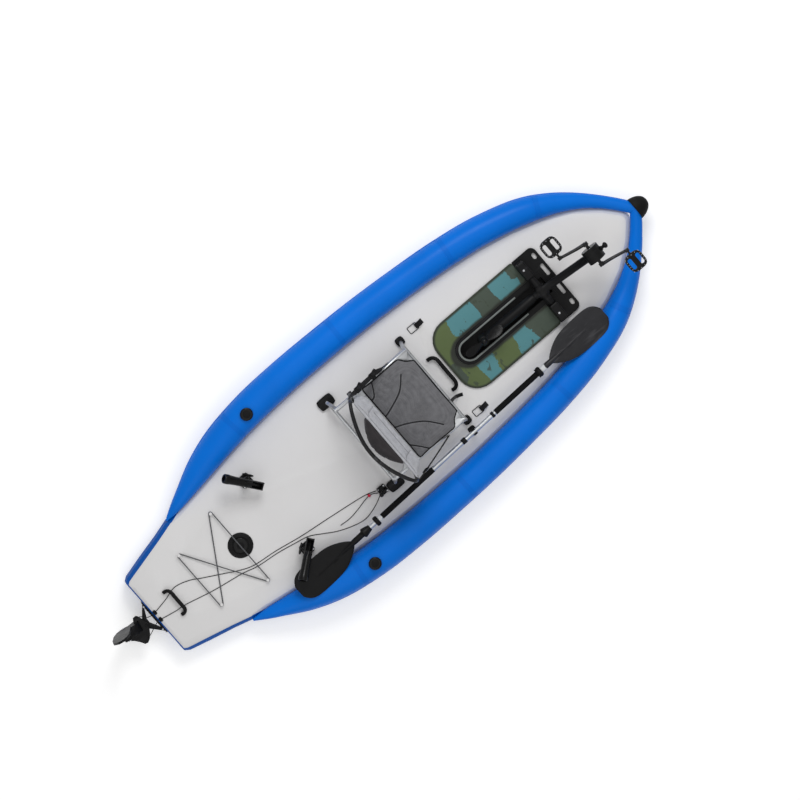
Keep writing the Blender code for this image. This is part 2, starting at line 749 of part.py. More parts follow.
def weld_deck_fittings(floor):
    """Vinyl patches, bungee buttons and tie-down tabs that are welded to the deck."""
    bm = bmesh.new()
    sunk = 0.004
    for spot in anchor_spots():
        add_turned(bm, [(0, -sunk), (0.020, -sunk), (0.020, 0.0015), (ANCHOR_STEM, 0.003),
                        (ANCHOR_STEM, 0.018), (0.009, 0.0195), (0.007, 0.023), (0, 0.0235)],
                   Matrix.Translation(spot), 8)
    for d, y in (STERN_HANDLE_FOOT, MIDDLE_HANDLE_FOOT):
        for side in (1, -1):
            corner = rounded_rectangle(0.046, 0.042, 0.012, 2)
            place_at = Matrix.Translation((at(d), side * y, FLOOR_THICKNESS))
            add_prism(bm, corner, -sunk, PATCH_THICKNESS, place_at)
    tab_width = TIE_WIDTH - 5 * TIE_WIRE
    profile = [(-0.009, -TIE_AXLE_HEIGHT - sunk), (0.022, -TIE_AXLE_HEIGHT - sunk),
               (0.022, 0.0), (0.010, 0.006), (-0.009, 0.006)]
    for index in range(2):
        axle = tie_down_axle(index)
        upright = Matrix.Translation(axle) @ Matrix.Rotation(math.pi / 2, 4, "X")
        add_prism(bm, profile, -tab_width / 2, tab_width / 2, upright)
    fuse(floor, bm)
    holes = bmesh.new()
    for index in range(2):
        axle = tie_down_axle(index)
        across = Vector((0.0, TIE_WIDTH, 0.0))
        add_rod(holes, axle - across, axle + across, TIE_WIRE + 0.0007, 10)
    cut(floor, holes)


def build_tie_down_rings():
    """Steel rings that lie back on the deck from their tabs."""
    for index, name in enumerate(("tie_down_ring_port", "tie_down_ring_starboard")):
        axle = tie_down_axle(index)
        ring = bmesh.new()
        drop = axle.z - FLOOR_THICKNESS - TIE_WIRE - GAP
        loop = []
        for x, y in rounded_rectangle(TIE_LENGTH, TIE_WIDTH, 0.0045, 2):
            along = TIE_LENGTH / 2 - x
            loop.append(axle + Vector((-along, y, -drop * along / TIE_LENGTH)))
        rings = []
        for i, p in enumerate(loop):
            t = (loop[(i + 1) % len(loop)] - loop[i - 1]).normalized()
            side = Vector((0, 0, 1)).cross(t).normalized()
            over = t.cross(side)
            turns = [2 * math.pi * k / 6 for k in range(6)]
            rings.append([ring.verts.new(p + side * (TIE_WIRE * math.cos(a)) + over * (TIE_WIRE * math.sin(a)))
                          for a in turns])
        bridge_rings(ring, rings, closed=True)
        finish_object(name, ring, STEEL, pivot=axle)


def plate_outline(rear, front, half, rear_radius, front_radius):
    """Outline of a deck plate with its own corner radii at the rear and in front."""
    points = []
    corners = ((front, half, front_radius, 0), (rear, half, rear_radius, 90),
               (rear, -half, rear_radius, 180), (front, -half, front_radius, 270))
    for d, y, radius, start in corners:
        cx = d - radius if d == front else d + radius
        cy = y - math.copysign(radius, y)
        for k in range(7):
            a = math.radians(start + 90 * k / 6)
            points.append((at(cx) + radius * math.cos(a), cy + radius * math.sin(a)))
    return points


def build_well():
    """Camouflage pad, moulded well liner with its edge trim, front bracket and pivot blocks."""
    deck = FLOOR_THICKNESS + GAP
    flange_top = FLOOR_THICKNESS + PLATE_THICKNESS + 0.002
    flange = WELL_WALL + WELL_FLANGE
    level = Matrix.Identity(4)

    plate = bmesh.new()
    outline = plate_outline(PLATE_REAR_D, PLATE_FRONT_D, PLATE_HALF_WIDTH, 0.11, 0.012)
    add_prism(plate, outline, deck, deck + PLATE_THICKNESS, level, bevel=0.003)
    plate = finish_object("drive_plate", plate, CAMO)
    hole = bmesh.new()
    add_prism(hole, slot_outline(flange + GAP, 0.03), deck - 0.01, 0.2, level)
    cut(plate, hole)

    liner = bmesh.new()
    add_prism(liner, slot_outline(WELL_WALL, WELL_WALL), 0.001, flange_top - 0.001, level)
    liner = finish_object("well_liner", liner, BLACK)
    rim = bmesh.new()
    add_prism(rim, slot_outline(flange, WELL_FRONT_FLANGE), deck, flange_top, level)
    fuse(liner, rim)
    hole = bmesh.new()
    add_prism(hole, slot_outline(0.0, 0.0), -0.02, 0.2, level)
    cut(liner, hole)

    trim = bmesh.new()
    low = flange_top + GAP
    add_prism(trim, slot_outline(TRIM_WIDTH, 0.0), low, low + TRIM_HEIGHT, level, bevel=0.003)
    trim = finish_object("well_edge_trim", trim, GREY_PATCH)
    hole = bmesh.new()
    add_prism(hole, slot_outline(0.001, 0.05), 0.1, 0.2, level)
    cut(trim, hole)
    ahead = bmesh.new()
    box_at(ahead, (at(TRIM_FRONT_D) + 0.2, 0, low), (0.4, 0.4, 0.1))
    cut(trim, ahead)

    bracket = bmesh.new()
    outline = plate_outline(PLATE_FRONT_D + GAP, BRACKET_FRONT_D, PLATE_HALF_WIDTH - 0.002, 0.006, 0.03)
    add_prism(bracket, outline, deck, deck + BRACKET_THICKNESS, level, bevel=0.002)
    bracket = finish_object("front_bracket", bracket, BLACK)
    holes = bmesh.new()
    add_prism(holes, slot_outline(flange + GAP, WELL_FRONT_FLANGE + GAP), deck - 0.01, 0.2, level)
    for y, width in ((0.062, 0.07), (0.150, 0.035)):
        for side in (1, -1):
            slot = rounded_rectangle(0.020, width, 0.009, 2)
            add_prism(holes, slot, deck - 0.01, 0.2,
                      Matrix.Translation((at(BRACKET_FRONT_D) - 0.024, side * y, 0)))
    cut(bracket, holes)

    blocks = bmesh.new()
    low = deck + BRACKET_THICKNESS / 2
    high = PIVOT_Z + PIVOT_BLOCK_RISE
    width = PIVOT_BLOCK_OUTER_Y - PIVOT_BLOCK_INNER_Y
    middle = (PIVOT_BLOCK_OUTER_Y + PIVOT_BLOCK_INNER_Y) / 2
    for side in (1, -1):
        box_at(blocks, (at(PIVOT_D), side * middle, (low + high) / 2),
               (PIVOT_BLOCK_LENGTH, width, high - low), bevel=0.006, segments=2)
    fuse(bracket, blocks)
    bore = bmesh.new()
    across = Vector((0.0, 0.3, 0.0))
    pivot = Vector((at(PIVOT_D), 0.0, PIVOT_Z))
    add_rod(bore, pivot - across, pivot + across, TRUNNION_R + PIN_CLEARANCE, 16)
    cut(bracket, bore)


def drive_point(along, up=0.0, across=0.0, neck=False):
    """A point of the drive measured from its pivot along the leg or the neck."""
    direction = neck_direction() if neck else leg_direction()
    side = Vector((0.0, 1.0, 0.0))
    normal = direction.cross(side) if neck else side.cross(direction)
    if normal.z < 0:
        normal = -normal
    return pivot_point() + direction * along + normal * up + side * across


def pivot_point():
    return Vector((at(PIVOT_D), 0.0, PIVOT_Z))


def crank_center():
    return Vector((at(CRANK_D), 0.0, CRANK_Z))


def gear_center():
    return Vector((at(GEAR_CASE_D), 0.0, GEAR_CASE_Z))


def neck_direction():
    return (crank_center() - pivot_point()).normalized()


def leg_direction():
    return (gear_center() - pivot_point()).normalized()


def propeller_direction():
    """Out of the gear case along the propeller shaft: astern when the leg is down, up when stowed."""
    direction = Vector((0.0, 1.0, 0.0)).cross(leg_direction())
    return direction if direction.z > 0 else -direction


def pitch_cone(far_radius, near_radius, cone_apex_to_far, thickness, hub_radius, hub_length):
    """Profile of a plain bevel gear whose toothed face lies on a cone with its tip at height 0."""
    slope = cone_apex_to_far / far_radius
    return [(0, near_radius * slope + MESH_GAP), (near_radius, near_radius * slope + MESH_GAP),
            (far_radius, cone_apex_to_far + MESH_GAP), (far_radius * 0.93, cone_apex_to_far + thickness),
            (hub_radius, cone_apex_to_far + thickness), (hub_radius, hub_length)]


def build_drive_case():
    """Crank case, neck and pivot elbow in one casting, bored out for the gears and the neck shaft."""
    pivot, crank, across = pivot_point(), crank_center(), Vector((0.0, 1.0, 0.0))
    neck = neck_direction()
    bm = bmesh.new()
    add_rod(bm, crank - across * CASE_HALF_WIDTH, crank + across * CASE_HALF_WIDTH, CASE_RADIUS, 20)
    case = finish_object("drive_neck", bm, BLACK, smooth_angle=30)
    bm = bmesh.new()
    add_rod(bm, pivot - neck * 0.005, crank - neck * (CASE_RADIUS * 0.6), NECK_RADIUS, 12)
    fuse(case, bm)
    bm = bmesh.new()
    add_rod(bm, pivot - across * ELBOW_HALF_WIDTH, pivot + across * ELBOW_HALF_WIDTH, ELBOW_RADIUS, 14)
    fuse(case, bm)
    bm = bmesh.new()
    for side in (1, -1):
        matrix = place(pivot, across * side)
        add_turned(bm, [(0, ELBOW_HALF_WIDTH - 0.01), (ELBOW_RADIUS * 0.82, ELBOW_HALF_WIDTH - 0.01),
                        (ELBOW_RADIUS * 0.72, ELBOW_HALF_WIDTH + 0.006), (0.015, PIVOT_BLOCK_INNER_Y - 0.003),
                        (TRUNNION_R, PIVOT_BLOCK_INNER_Y - 0.003), (TRUNNION_R, PIVOT_BLOCK_OUTER_Y - 0.004),
                        (0, PIVOT_BLOCK_OUTER_Y - 0.004)], matrix, 12)
    fuse(case, bm)
    bm = bmesh.new()
    add_rod(bm, pivot, drive_point(ELBOW_FACE, 0.0), NECK_RADIUS, 12)
    fuse(case, bm)
    bm = bmesh.new()
    inner = CASE_HALF_WIDTH - CASE_WALL
    add_rod(bm, crank - across * inner, crank + across * (CASE_HALF_WIDTH + 0.01),
            CASE_RADIUS - CASE_WALL, 20)
    cut(case, bm)
    bm = bmesh.new()
    add_rod(bm, crank - across * 0.2, crank - across * (inner - 0.01), AXLE_R + PIN_CLEARANCE, 14)
    cut(case, bm)
    bm = bmesh.new()
    add_rod(bm, pivot, crank - neck * (CASE_RADIUS - CASE_WALL - 0.012), SHAFT_BORE, 10)
    cut(case, bm)
    bm = bmesh.new()
    add_turned(bm, [(0, -ELBOW_CAVITY), (ELBOW_CAVITY, -ELBOW_CAVITY), (ELBOW_CAVITY, ELBOW_CAVITY),
                    (0, ELBOW_CAVITY)], place(pivot, across), 12)
    cut(case, bm)
    bm = bmesh.new()
    add_rod(bm, pivot, drive_point(ELBOW_FACE + 0.02), SHAFT_BORE, 10)
    cut(case, bm)
    case.data.transform(Matrix.Translation(-pivot))
    case.location = pivot


def build_case_cover():
    """Round side cover of the crank case, with the axle's hole and a pull knob in front."""
    crank, across = crank_center(), Vector((0.0, 1.0, 0.0))
    bm = bmesh.new()
    start = CASE_HALF_WIDTH - CASE_WALL + GAP
    matrix = place(crank, across, (0.0, 0.0, 1.0))
    spigot = CASE_RADIUS - CASE_WALL - GAP
    add_turned(bm, [(AXLE_R + PIN_CLEARANCE, start - 0.003), (spigot, start - 0.003), (spigot, CASE_HALF_WIDTH + GAP),
                    (CASE_RADIUS, CASE_HALF_WIDTH + GAP), (CASE_RADIUS, CASE_HALF_WIDTH + 0.003),
                    (CASE_RADIUS - 0.003, CASE_HALF_WIDTH + 0.005),
                    (AXLE_R + PIN_CLEARANCE, CASE_HALF_WIDTH + 0.005)], matrix, 20, closed=True)
    finish_object("crank_case_cover", bm, BLACK, pivot=pivot_point(), smooth_angle=30)
    bm = bmesh.new()
    start = crank + neck_flat() * (CASE_RADIUS + GAP)
    add_turned(bm, [(0, 0), (0.014, 0), (0.014, 0.003), (0.009, 0.006), (0.009, 0.014), (0.016, 0.020),
                    (0.016, 0.030), (0.009, 0.036), (0, 0.037)], place(start, neck_flat()), 10)
    finish_object("lift_knob", bm, BLACK, pivot=pivot_point())


def neck_flat():
    """Forward and a little up, where the pull knob points."""
    return Vector((math.cos(KNOB_TILT), 0.0, math.sin(KNOB_TILT)))


def build_crank_set():
    """Axle with its bevel gear, two arms and two pedal spindles, turning about the crank axis."""
    crank, across = crank_center(), Vector((0.0, 1.0, 0.0))
    bm = bmesh.new()
    add_rod(bm, crank - across * HUB_Y, crank + across * HUB_Y, AXLE_R, 10)
    crank_set = finish_object("crank_set", bm, STEEL_DARK)
    bm = bmesh.new()
    gear = pitch_cone(CRANK_GEAR_R, CRANK_GEAR_R * 0.6, NECK_PINION_R, 0.006, 0.013, NECK_PINION_R + 0.008)
    add_turned(bm, gear + [(0, NECK_PINION_R + 0.008)], place(crank, -across), 16)
    fuse(crank_set, bm)
    for side, back in ((1, -1), (-1, 1)):
        bm = bmesh.new()
        end = pedal_point(side)
        hub = crank + across * (side * HUB_Y)
        add_rod(bm, hub - across * (side * 0.012), hub + across * (side * 0.006), 0.015, 10)
        fuse(crank_set, bm)
        bm = bmesh.new()
        route = [hub, hub + Vector((back * 0.03, side * 0.003, 0)),
                 hub + Vector((back * CRANK_ARM * 0.55, side * 0.012, 0)),
                 Vector((end.x, side * (HUB_Y + ARM_FLARE), end.z))]
        points = smooth_route(route, 6)
        add_swept(bm, points, [0.0095 - 0.002 * i / 6 for i in range(7)], 8, flat=1.15)
        fuse(crank_set, bm)
        bm = bmesh.new()
        inner = Vector((end.x, side * (HUB_Y + ARM_FLARE - 0.008), end.z))
        add_rod(bm, inner, inner + across * (side * 0.016), 0.0125, 10)
        outer = Vector((end.x, side * (PEDAL_Y + PEDAL_SIZE / 2 - 0.006), end.z))
        fuse(crank_set, bm)
        bm = bmesh.new()
        add_rod(bm, inner, outer, PEDAL_AXLE_R, 8)
        fuse(crank_set, bm)
    crank_set.data.transform(Matrix.Translation(-crank))
    crank_set.location = crank


def pedal_point(side):
    """Middle of a pedal's spindle line; the port arm lies astern and the starboard arm ahead."""
    crank = crank_center()
    return Vector((crank.x - side * CRANK_ARM, 0.0, crank.z))


def build_pedal(name, side):
    """Cage pedal with two long openings either side of its spindle tube."""
    end = pedal_point(side)
    center = Vector((end.x, side * PEDAL_Y, end.z))
    bm = bmesh.new()
    add_prism(bm, rounded_rectangle(PEDAL_SIZE, PEDAL_SIZE, 0.030, 4), -PEDAL_HALF_THICK, PEDAL_HALF_THICK,
              Matrix.Translation(center), bevel=0.002)
    pedal = finish_object(name, bm, BLACK)
    bm = bmesh.new()
    for fore in (1, -1):
        add_prism(bm, rounded_rectangle(0.022, PEDAL_SIZE - 0.032, 0.009, 3), -0.03, 0.03,
                  Matrix.Translation(center + Vector((fore * 0.0245, 0, 0))))
    cut(pedal, bm)
    bm = bmesh.new()
    across = Vector((0.0, side * 1.0, 0.0))
    add_rod(bm, center - across * 0.1, center + across * (PEDAL_SIZE / 2 - 0.004),
            PEDAL_AXLE_R + PIN_CLEARANCE, 16)
    cut(pedal, bm)
    pedal.data.transform(Matrix.Translation(-center))
    pedal.location = center


def build_drive_leg():
    """Streamlined leg and gear case, bored for the leg shaft and hollowed round the bevel gears."""
    pivot, gears = pivot_point(), gear_center()
    leg, out = leg_direction(), propeller_direction()
    length = (gears - pivot).length
    across = Vector((0.0, 1.0, 0.0))
    bm = bmesh.new()
    sections = []
    for along, half_width, half_chord in ((ELBOW_FACE + GAP, NECK_RADIUS, NECK_RADIUS),
                                          (0.062, NECK_RADIUS + 0.003, NECK_RADIUS + 0.003),
                                          (0.095, LEG_HALF_WIDTH, LEG_HALF_CHORD),
                                          (length - 0.06, LEG_HALF_WIDTH, LEG_HALF_CHORD),
                                          (length - 0.02, LEG_HALF_WIDTH * 0.85, LEG_HALF_CHORD * 0.85),
                                          (length, LEG_HALF_WIDTH * 0.7, LEG_HALF_CHORD * 0.7)):
        ring = []
        for k in range(12):
            a = 2 * math.pi * k / 12
            ring.append(pivot + leg * along + across * (half_width * math.cos(a))
                        + out * (half_chord * math.sin(a)))
        sections.append(ring)
    add_loft(bm, sections)
    leg_part = finish_object("drive_leg", bm, BLACK)
    bm = bmesh.new()
    add_turned(bm, [(0, GEAR_CASE_NOSE), (0.012, GEAR_CASE_NOSE + 0.004), (0.024, GEAR_CASE_NOSE + 0.018),
                    (GEAR_CASE_R, GEAR_CASE_NOSE + 0.042), (GEAR_CASE_R, 0.020),
                    (0.024, GEAR_CASE_TAIL - 0.003), (0.021, GEAR_CASE_TAIL), (0, GEAR_CASE_TAIL)],
               place(gears, out, leg), 16)
    fuse(leg_part, bm)
    bm = bmesh.new()
    add_turned(bm, [(0, -0.030), (GEAR_CASE_R - CASE_WALL, -0.026), (GEAR_CASE_R - CASE_WALL, 0.016),
                    (0.019, 0.034), (0, 0.034)], place(gears, out, leg), 16)
    cut(leg_part, bm)
    bm = bmesh.new()
    add_rod(bm, gears + out * 0.02, gears + out * 0.1, PROPELLER_SHAFT_R + PIN_CLEARANCE, 10)
    cut(leg_part, bm)
    bm = bmesh.new()
    add_rod(bm, pivot, gears - leg * 0.02, SHAFT_BORE, 10)
    cut(leg_part, bm)
    leg_part.data.transform(Matrix.Translation(-pivot))
    leg_part.location = pivot


def build_drive_shafts():
    """Neck shaft, leg shaft and propeller shaft with the plain bevel gears on their ends."""
    crank, pivot, gears = crank_center(), pivot_point(), gear_center()
    neck, leg, out = neck_direction(), leg_direction(), propeller_direction()
    bend = math.acos(neck.dot(leg)) / 2
    rim = ELBOW_GEAR_R / math.tan(bend)
    core = 0.006
    elbow = [(0.0, rim * core / ELBOW_GEAR_R + MESH_GAP), (core, rim * core / ELBOW_GEAR_R + MESH_GAP),
             (ELBOW_GEAR_R, rim + MESH_GAP), (ELBOW_GEAR_R * 0.93, rim + 0.004), (0.008, rim + 0.004),
             (DRIVE_SHAFT_R, rim + 0.009)]

    length = (crank - pivot).length
    bm = bmesh.new()
    pinion = pitch_cone(NECK_PINION_R, NECK_PINION_R * 0.6, CRANK_GEAR_R, 0.006, 0.008, CRANK_GEAR_R + 0.01)
    profile = pinion + [(DRIVE_SHAFT_R, CRANK_GEAR_R + 0.012)]
    profile += [(radius, length - height) for radius, height in reversed(elbow)]
    add_turned(bm, profile, place(crank, -neck), 12)
    finish_object("neck_shaft", bm, STEEL, pivot=crank)

    length = (gears - pivot).length
    bm = bmesh.new()
    gear = pitch_cone(LEG_GEAR_R, LEG_GEAR_R * 0.6, PROPELLER_PINION_R, 0.0045, 0.010,
                      PROPELLER_PINION_R + 0.008)
    profile = elbow + [(DRIVE_SHAFT_R, length - PROPELLER_PINION_R - 0.011)]
    profile += [(radius, length - height) for radius, height in reversed(gear)]
    add_turned(bm, profile, place(pivot, leg), 14)
    finish_object("leg_shaft", bm, STEEL, pivot=pivot)

    bm = bmesh.new()
    profile = pitch_cone(PROPELLER_PINION_R, PROPELLER_PINION_R * 0.6, LEG_GEAR_R, 0.004, 0.0065,
                         LEG_GEAR_R + 0.006)
    end = PROPELLER_HUB_END - 0.012
    add_turned(bm, profile + [(PROPELLER_SHAFT_R, LEG_GEAR_R + 0.007), (PROPELLER_SHAFT_R, end), (0, end)],
               place(gears, out), 12)
    finish_object("propeller_shaft", bm, STEEL, pivot=gears)


def build_propeller():
    """Two twisted blades on a round hub, lying along the leg so that they stow inside the well's width."""
    gears, leg, out = gear_center(), leg_direction(), propeller_direction()
    bm = bmesh.new()
    low = GEAR_CASE_TAIL + GAP
    add_turned(bm, [(0, low), (PROPELLER_HUB_R, low), (PROPELLER_HUB_R, low + 0.028),
                    (PROPELLER_HUB_R * 0.8, PROPELLER_HUB_END - 0.005), (PROPELLER_HUB_R * 0.4, PROPELLER_HUB_END),
                    (0, PROPELLER_HUB_END)], place(gears, out, leg), 12)
    propeller = finish_object("propeller", bm, BLACK)
    across = Vector((0.0, 1.0, 0.0))
    for side in (1, -1):
        bm = bmesh.new()
        sections = []
        for share, chord, thick, pitch in ((0.08, 0.024, 0.0080, 46), (0.25, 0.036, 0.0055, 40),
                                           (0.50, 0.052, 0.0042, 32), (0.75, 0.054, 0.0032, 25),
                                           (0.92, 0.040, 0.0024, 21), (1.0, 0.016, 0.0016, 20)):
            turn = math.radians(pitch)
            face = across * side * math.cos(turn) + out * math.sin(turn)
            back = out * math.cos(turn) - across * side * math.sin(turn)
            middle = gears + out * BLADE_ROW + leg * (side * PROPELLER_RADIUS * share)
            ring = []
            for k in range(8):
                a = 2 * math.pi * k / 8
                ring.append(middle + face * (chord / 2 * math.cos(a)) + back * (thick / 2 * math.sin(a)))
            sections.append(ring)
        add_loft(bm, sections)
        fuse(propeller, bm)
    bm = bmesh.new()
    add_rod(bm, gears, gears + out * (PROPELLER_HUB_END - 0.011), PROPELLER_SHAFT_R + PIN_CLEARANCE, 10)
    cut(propeller, bm)
    propeller.data.transform(Matrix.Translation(-gears))
    propeller.location = gears


def add_slab(bm, rows, columns, point):
    """Closed soft slab; point(u, v, face) gives both faces for u and v from -1 to 1."""
    layers = []
    for face in (1, -1):
        grid = []
        for i in range(rows + 1):
            u = math.sin(math.pi / 2 * (2 * i / rows - 1))
            line = []
            for j in range(columns + 1):
                v = math.sin(math.pi / 2 * (2 * j / columns - 1))
                line.append(bm.verts.new(point(u, v, face)))
            grid.append(line)
        layers.append(grid)
    for grid in layers:
        for i in range(rows):
            for j in range(columns):
                bm.faces.new((grid[i][j], grid[i + 1][j], grid[i + 1][j + 1], grid[i][j + 1]))
    top, low = layers
    for i in range(rows):
        for j in (0, columns):
            bm.faces.new((top[i][j], top[i + 1][j], low[i + 1][j], low[i][j]))
    for j in range(columns):
        for i in (0, rows):
            bm.faces.new((top[i][j], top[i][j + 1], low[i][j + 1], low[i][j]))


def back_point(up, stern, across):
    """World point from the backrest's own measures: up the frame, sternward of it and across."""
    c, s = math.cos(BACK_RECLINE), math.sin(BACK_RECLINE)
    return Vector((at(BACK_HINGE_D) - s * up - c * stern, across, BACK_HINGE_Z + c * up - s * stern))


def build_seat_frame():
    """Welded tube base of the seat on four deck feet, with lugs for the backrest."""
    y = SIDE_TUBE_Y
    rear, front = SEAT_REAR_FOOT, SEAT_FRONT_FOOT
    deck = FLOOR_THICKNESS + GAP
    bm = bmesh.new()
    add_rod(bm, (at(1.365), y, SEAT_Z), (at(1.832), y, SEAT_Z), SEAT_TUBE_R, 8)
    frame = finish_object("seat_frame", bm, BLACK)
    rods = [((1.365, -y, SEAT_Z), (1.832, -y, SEAT_Z), SEAT_TUBE_R)]
    for side in (1, -1):
        rods.append(((1.376, side * y, SEAT_Z), (1.358, side * 0.266, deck + 0.010), SEAT_TUBE_R * 0.9))
        rods.append(((1.822, side * y, SEAT_Z), (front[0], side * 0.258, deck + 0.010), SEAT_TUBE_R * 0.9))
    for d, half, z in ((1.363, 0.252, 0.176), (1.832, 0.250, 0.176), (1.500, y, SEAT_Z), (1.820, y, SEAT_Z)):
        rods.append(((d, -half, z), (d, half, z), CROSS_TUBE_R))
    for start, end, radius in rods:
        bm = bmesh.new()
        add_rod(bm, (at(start[0]), start[1], start[2]), (at(end[0]), end[1], end[2]), radius, 8)
        fuse(frame, bm)
    bm = bmesh.new()
    for side in (1, -1):
        add_prism(bm, rounded_rectangle(0.090, 0.060, 0.016, 2), deck, deck + 0.016,
                  Matrix.Translation((at(rear[0]), side * rear[1], 0)), bevel=0.003)
        add_prism(bm, rounded_rectangle(0.046, 0.046, 0.014, 2), deck, deck + 0.016,
                  Matrix.Translation((at(front[0]), side * front[1], 0)), bevel=0.003)
    fuse(frame, bm)
    bm = bmesh.new()
    lug = [(-0.095, -0.006), (0.018, -0.006), (0.018, 0.045), (0.010, 0.064), (-0.010, 0.064),
           (-0.018, 0.045), (-0.022, 0.020), (-0.095, 0.014)]
    for side in (1, -1):
        upright = Matrix.Translation((at(BACK_HINGE_D), side * y, SEAT_Z))
        upright = upright @ Matrix.Rotation(math.pi / 2, 4, "X")
        add_prism(bm, lug, -0.004, 0.004, upright)
    fuse(frame, bm)
    bm = bmesh.new()
    hinge = back_point(0, 0, 0)
    across = Vector((0.0, 0.4, 0.0))
    add_rod(bm, hinge - across, hinge + across, BACK_PIN_R + PIN_CLEARANCE, 8)
    cut(frame, bm)


def build_seat_cushion():
    """Padded fabric seat laid over the frame's tubes, its front corners cut away."""
    under = SEAT_Z + SEAT_TUBE_R + GAP
    middle = (CUSHION_REAR_D + CUSHION_FRONT_D) / 2
    half = (CUSHION_FRONT_D - CUSHION_REAR_D) / 2

    def point(u, v, face):
        crown = (1 - u ** 4) * (1 - v ** 4)
        dish = 0.006 * math.exp(-8 * (abs(v) - 0.0) ** 2) * (1 - u * u)
        z = under + (0.008 + 0.020 * crown - dish if face > 0 else 0.0)
        pull = 0.004 * (1 - abs(u) ** 3) if abs(v) > 0.99 else 0.0
        return Vector((at(middle + half * u), (CUSHION_HALF_WIDTH - pull) * v, z))

    bm = bmesh.new()
    add_slab(bm, 8, 12, point)
    cushion = finish_object("seat_cushion", bm, FABRIC, smooth_angle=60)
    bm = bmesh.new()
    for side in (1, -1):
        corner = Vector((at(CUSHION_FRONT_D + 0.004), side * (CUSHION_HALF_WIDTH + 0.004), 0.25))
        add_rod(bm, corner, corner + Vector((0, 0, 0.1)), CUSHION_NOTCH, 20)
    cut(cushion, bm)


def build_seat_back():
    """Bowed tube frame of the backrest with its two pivot pins, fabric panel and dark top bolster."""
    half = [(-0.020, 0.0, 0.252), (0.10, 0.0, 0.252), (0.22, 0.0, 0.256), (0.272, 0.004, 0.252),
            (0.292, 0.022, 0.222), (0.297, 0.050, 0.160), (0.299, 0.074, 0.085)]
    route = half + [(0.300, 0.084, 0.0)] + [(a, b, -c) for a, b, c in reversed(half)]
    points = smooth_route([back_point(*p) for p in route], 28)
    stern = back_point(0, 1, 0) - back_point(0, 0, 0)
    sections = []
    for i, p in enumerate(points):
        ahead = points[min(i + 1, len(points) - 1)]
        tangent = (ahead - points[max(i - 1, 0)]).normalized()
        side = (stern - tangent * stern.dot(tangent)).normalized()
        over = tangent.cross(side)
        sections.append([p + (side * math.cos(a) + over * math.sin(a)) * BACK_TUBE_R
                         for a in [2 * math.pi * k / 8 for k in range(8)]])
    bm = bmesh.new()
    add_loft(bm, sections)
    hinge = back_point(0, 0, 0)
    frame = finish_object("seat_back_frame", bm, BLACK)
    bm = bmesh.new()
    add_rod(bm, back_point(0.045, 0.004, -BACK_TUBE_Y), back_point(0.045, 0.004, BACK_TUBE_Y), 0.007, 10)
    fuse(frame, bm)
    bm = bmesh.new()
    for side in (1, -1):
        add_rod(bm, hinge + Vector((0, side * 0.2415, 0)), hinge + Vector((0, side * 0.2625, 0)), 0.014, 10)
    fuse(frame, bm)
    bm = bmesh.new()
    for side in (1, -1):
        inner = hinge + Vector((0, side * 0.2175, 0))
        add_turned(bm, [(0, 0), (0.007, 0.0015), (0.007, 0.0055), (BACK_PIN_R, 0.0055), (BACK_PIN_R, 0.034),
                        (0, 0.034)], place(inner, (0, side, 0), (0, 0, 1)), 8)
    fuse(frame, bm)
    frame.data.transform(Matrix.Translation(-hinge))
    frame.location = hinge

    def panel(u, v, face):
        up = (u + 1) / 2
        lumbar = LUMBAR_DEPTH * math.sin(math.pi * min(up / 0.75, 1.0)) ** 2 * (1 - v ** 16)
        rear = -BACK_TUBE_R - GAP - lumbar
        thick = 0.006 + 0.012 * (1 - u ** 6) * (1 - v ** 6)
        return back_point(0.030 + 0.250 * up, rear - (thick if face > 0 else 0.0), 0.2518 * v)

    bm = bmesh.new()
    add_slab(bm, 8, 10, panel)
    finish_object("seat_back_fabric", bm, GREY_PATCH, pivot=hinge, smooth_angle=60)

    def bolster(u, v, face):
        front = GAP - BACK_TUBE_R
        reach = (0.012 + 0.070 * (1 - v * v)) * math.sqrt(1 - 0.8 * u * u)
        return back_point(0.235 + 0.049 * u, front + (reach if face > 0 else 0.0), 0.150 * v)

    bm = bmesh.new()
    add_slab(bm, 6, 8, bolster)
    finish_object("seat_back_pad", bm, DARK_FABRIC, pivot=hinge, smooth_angle=60)


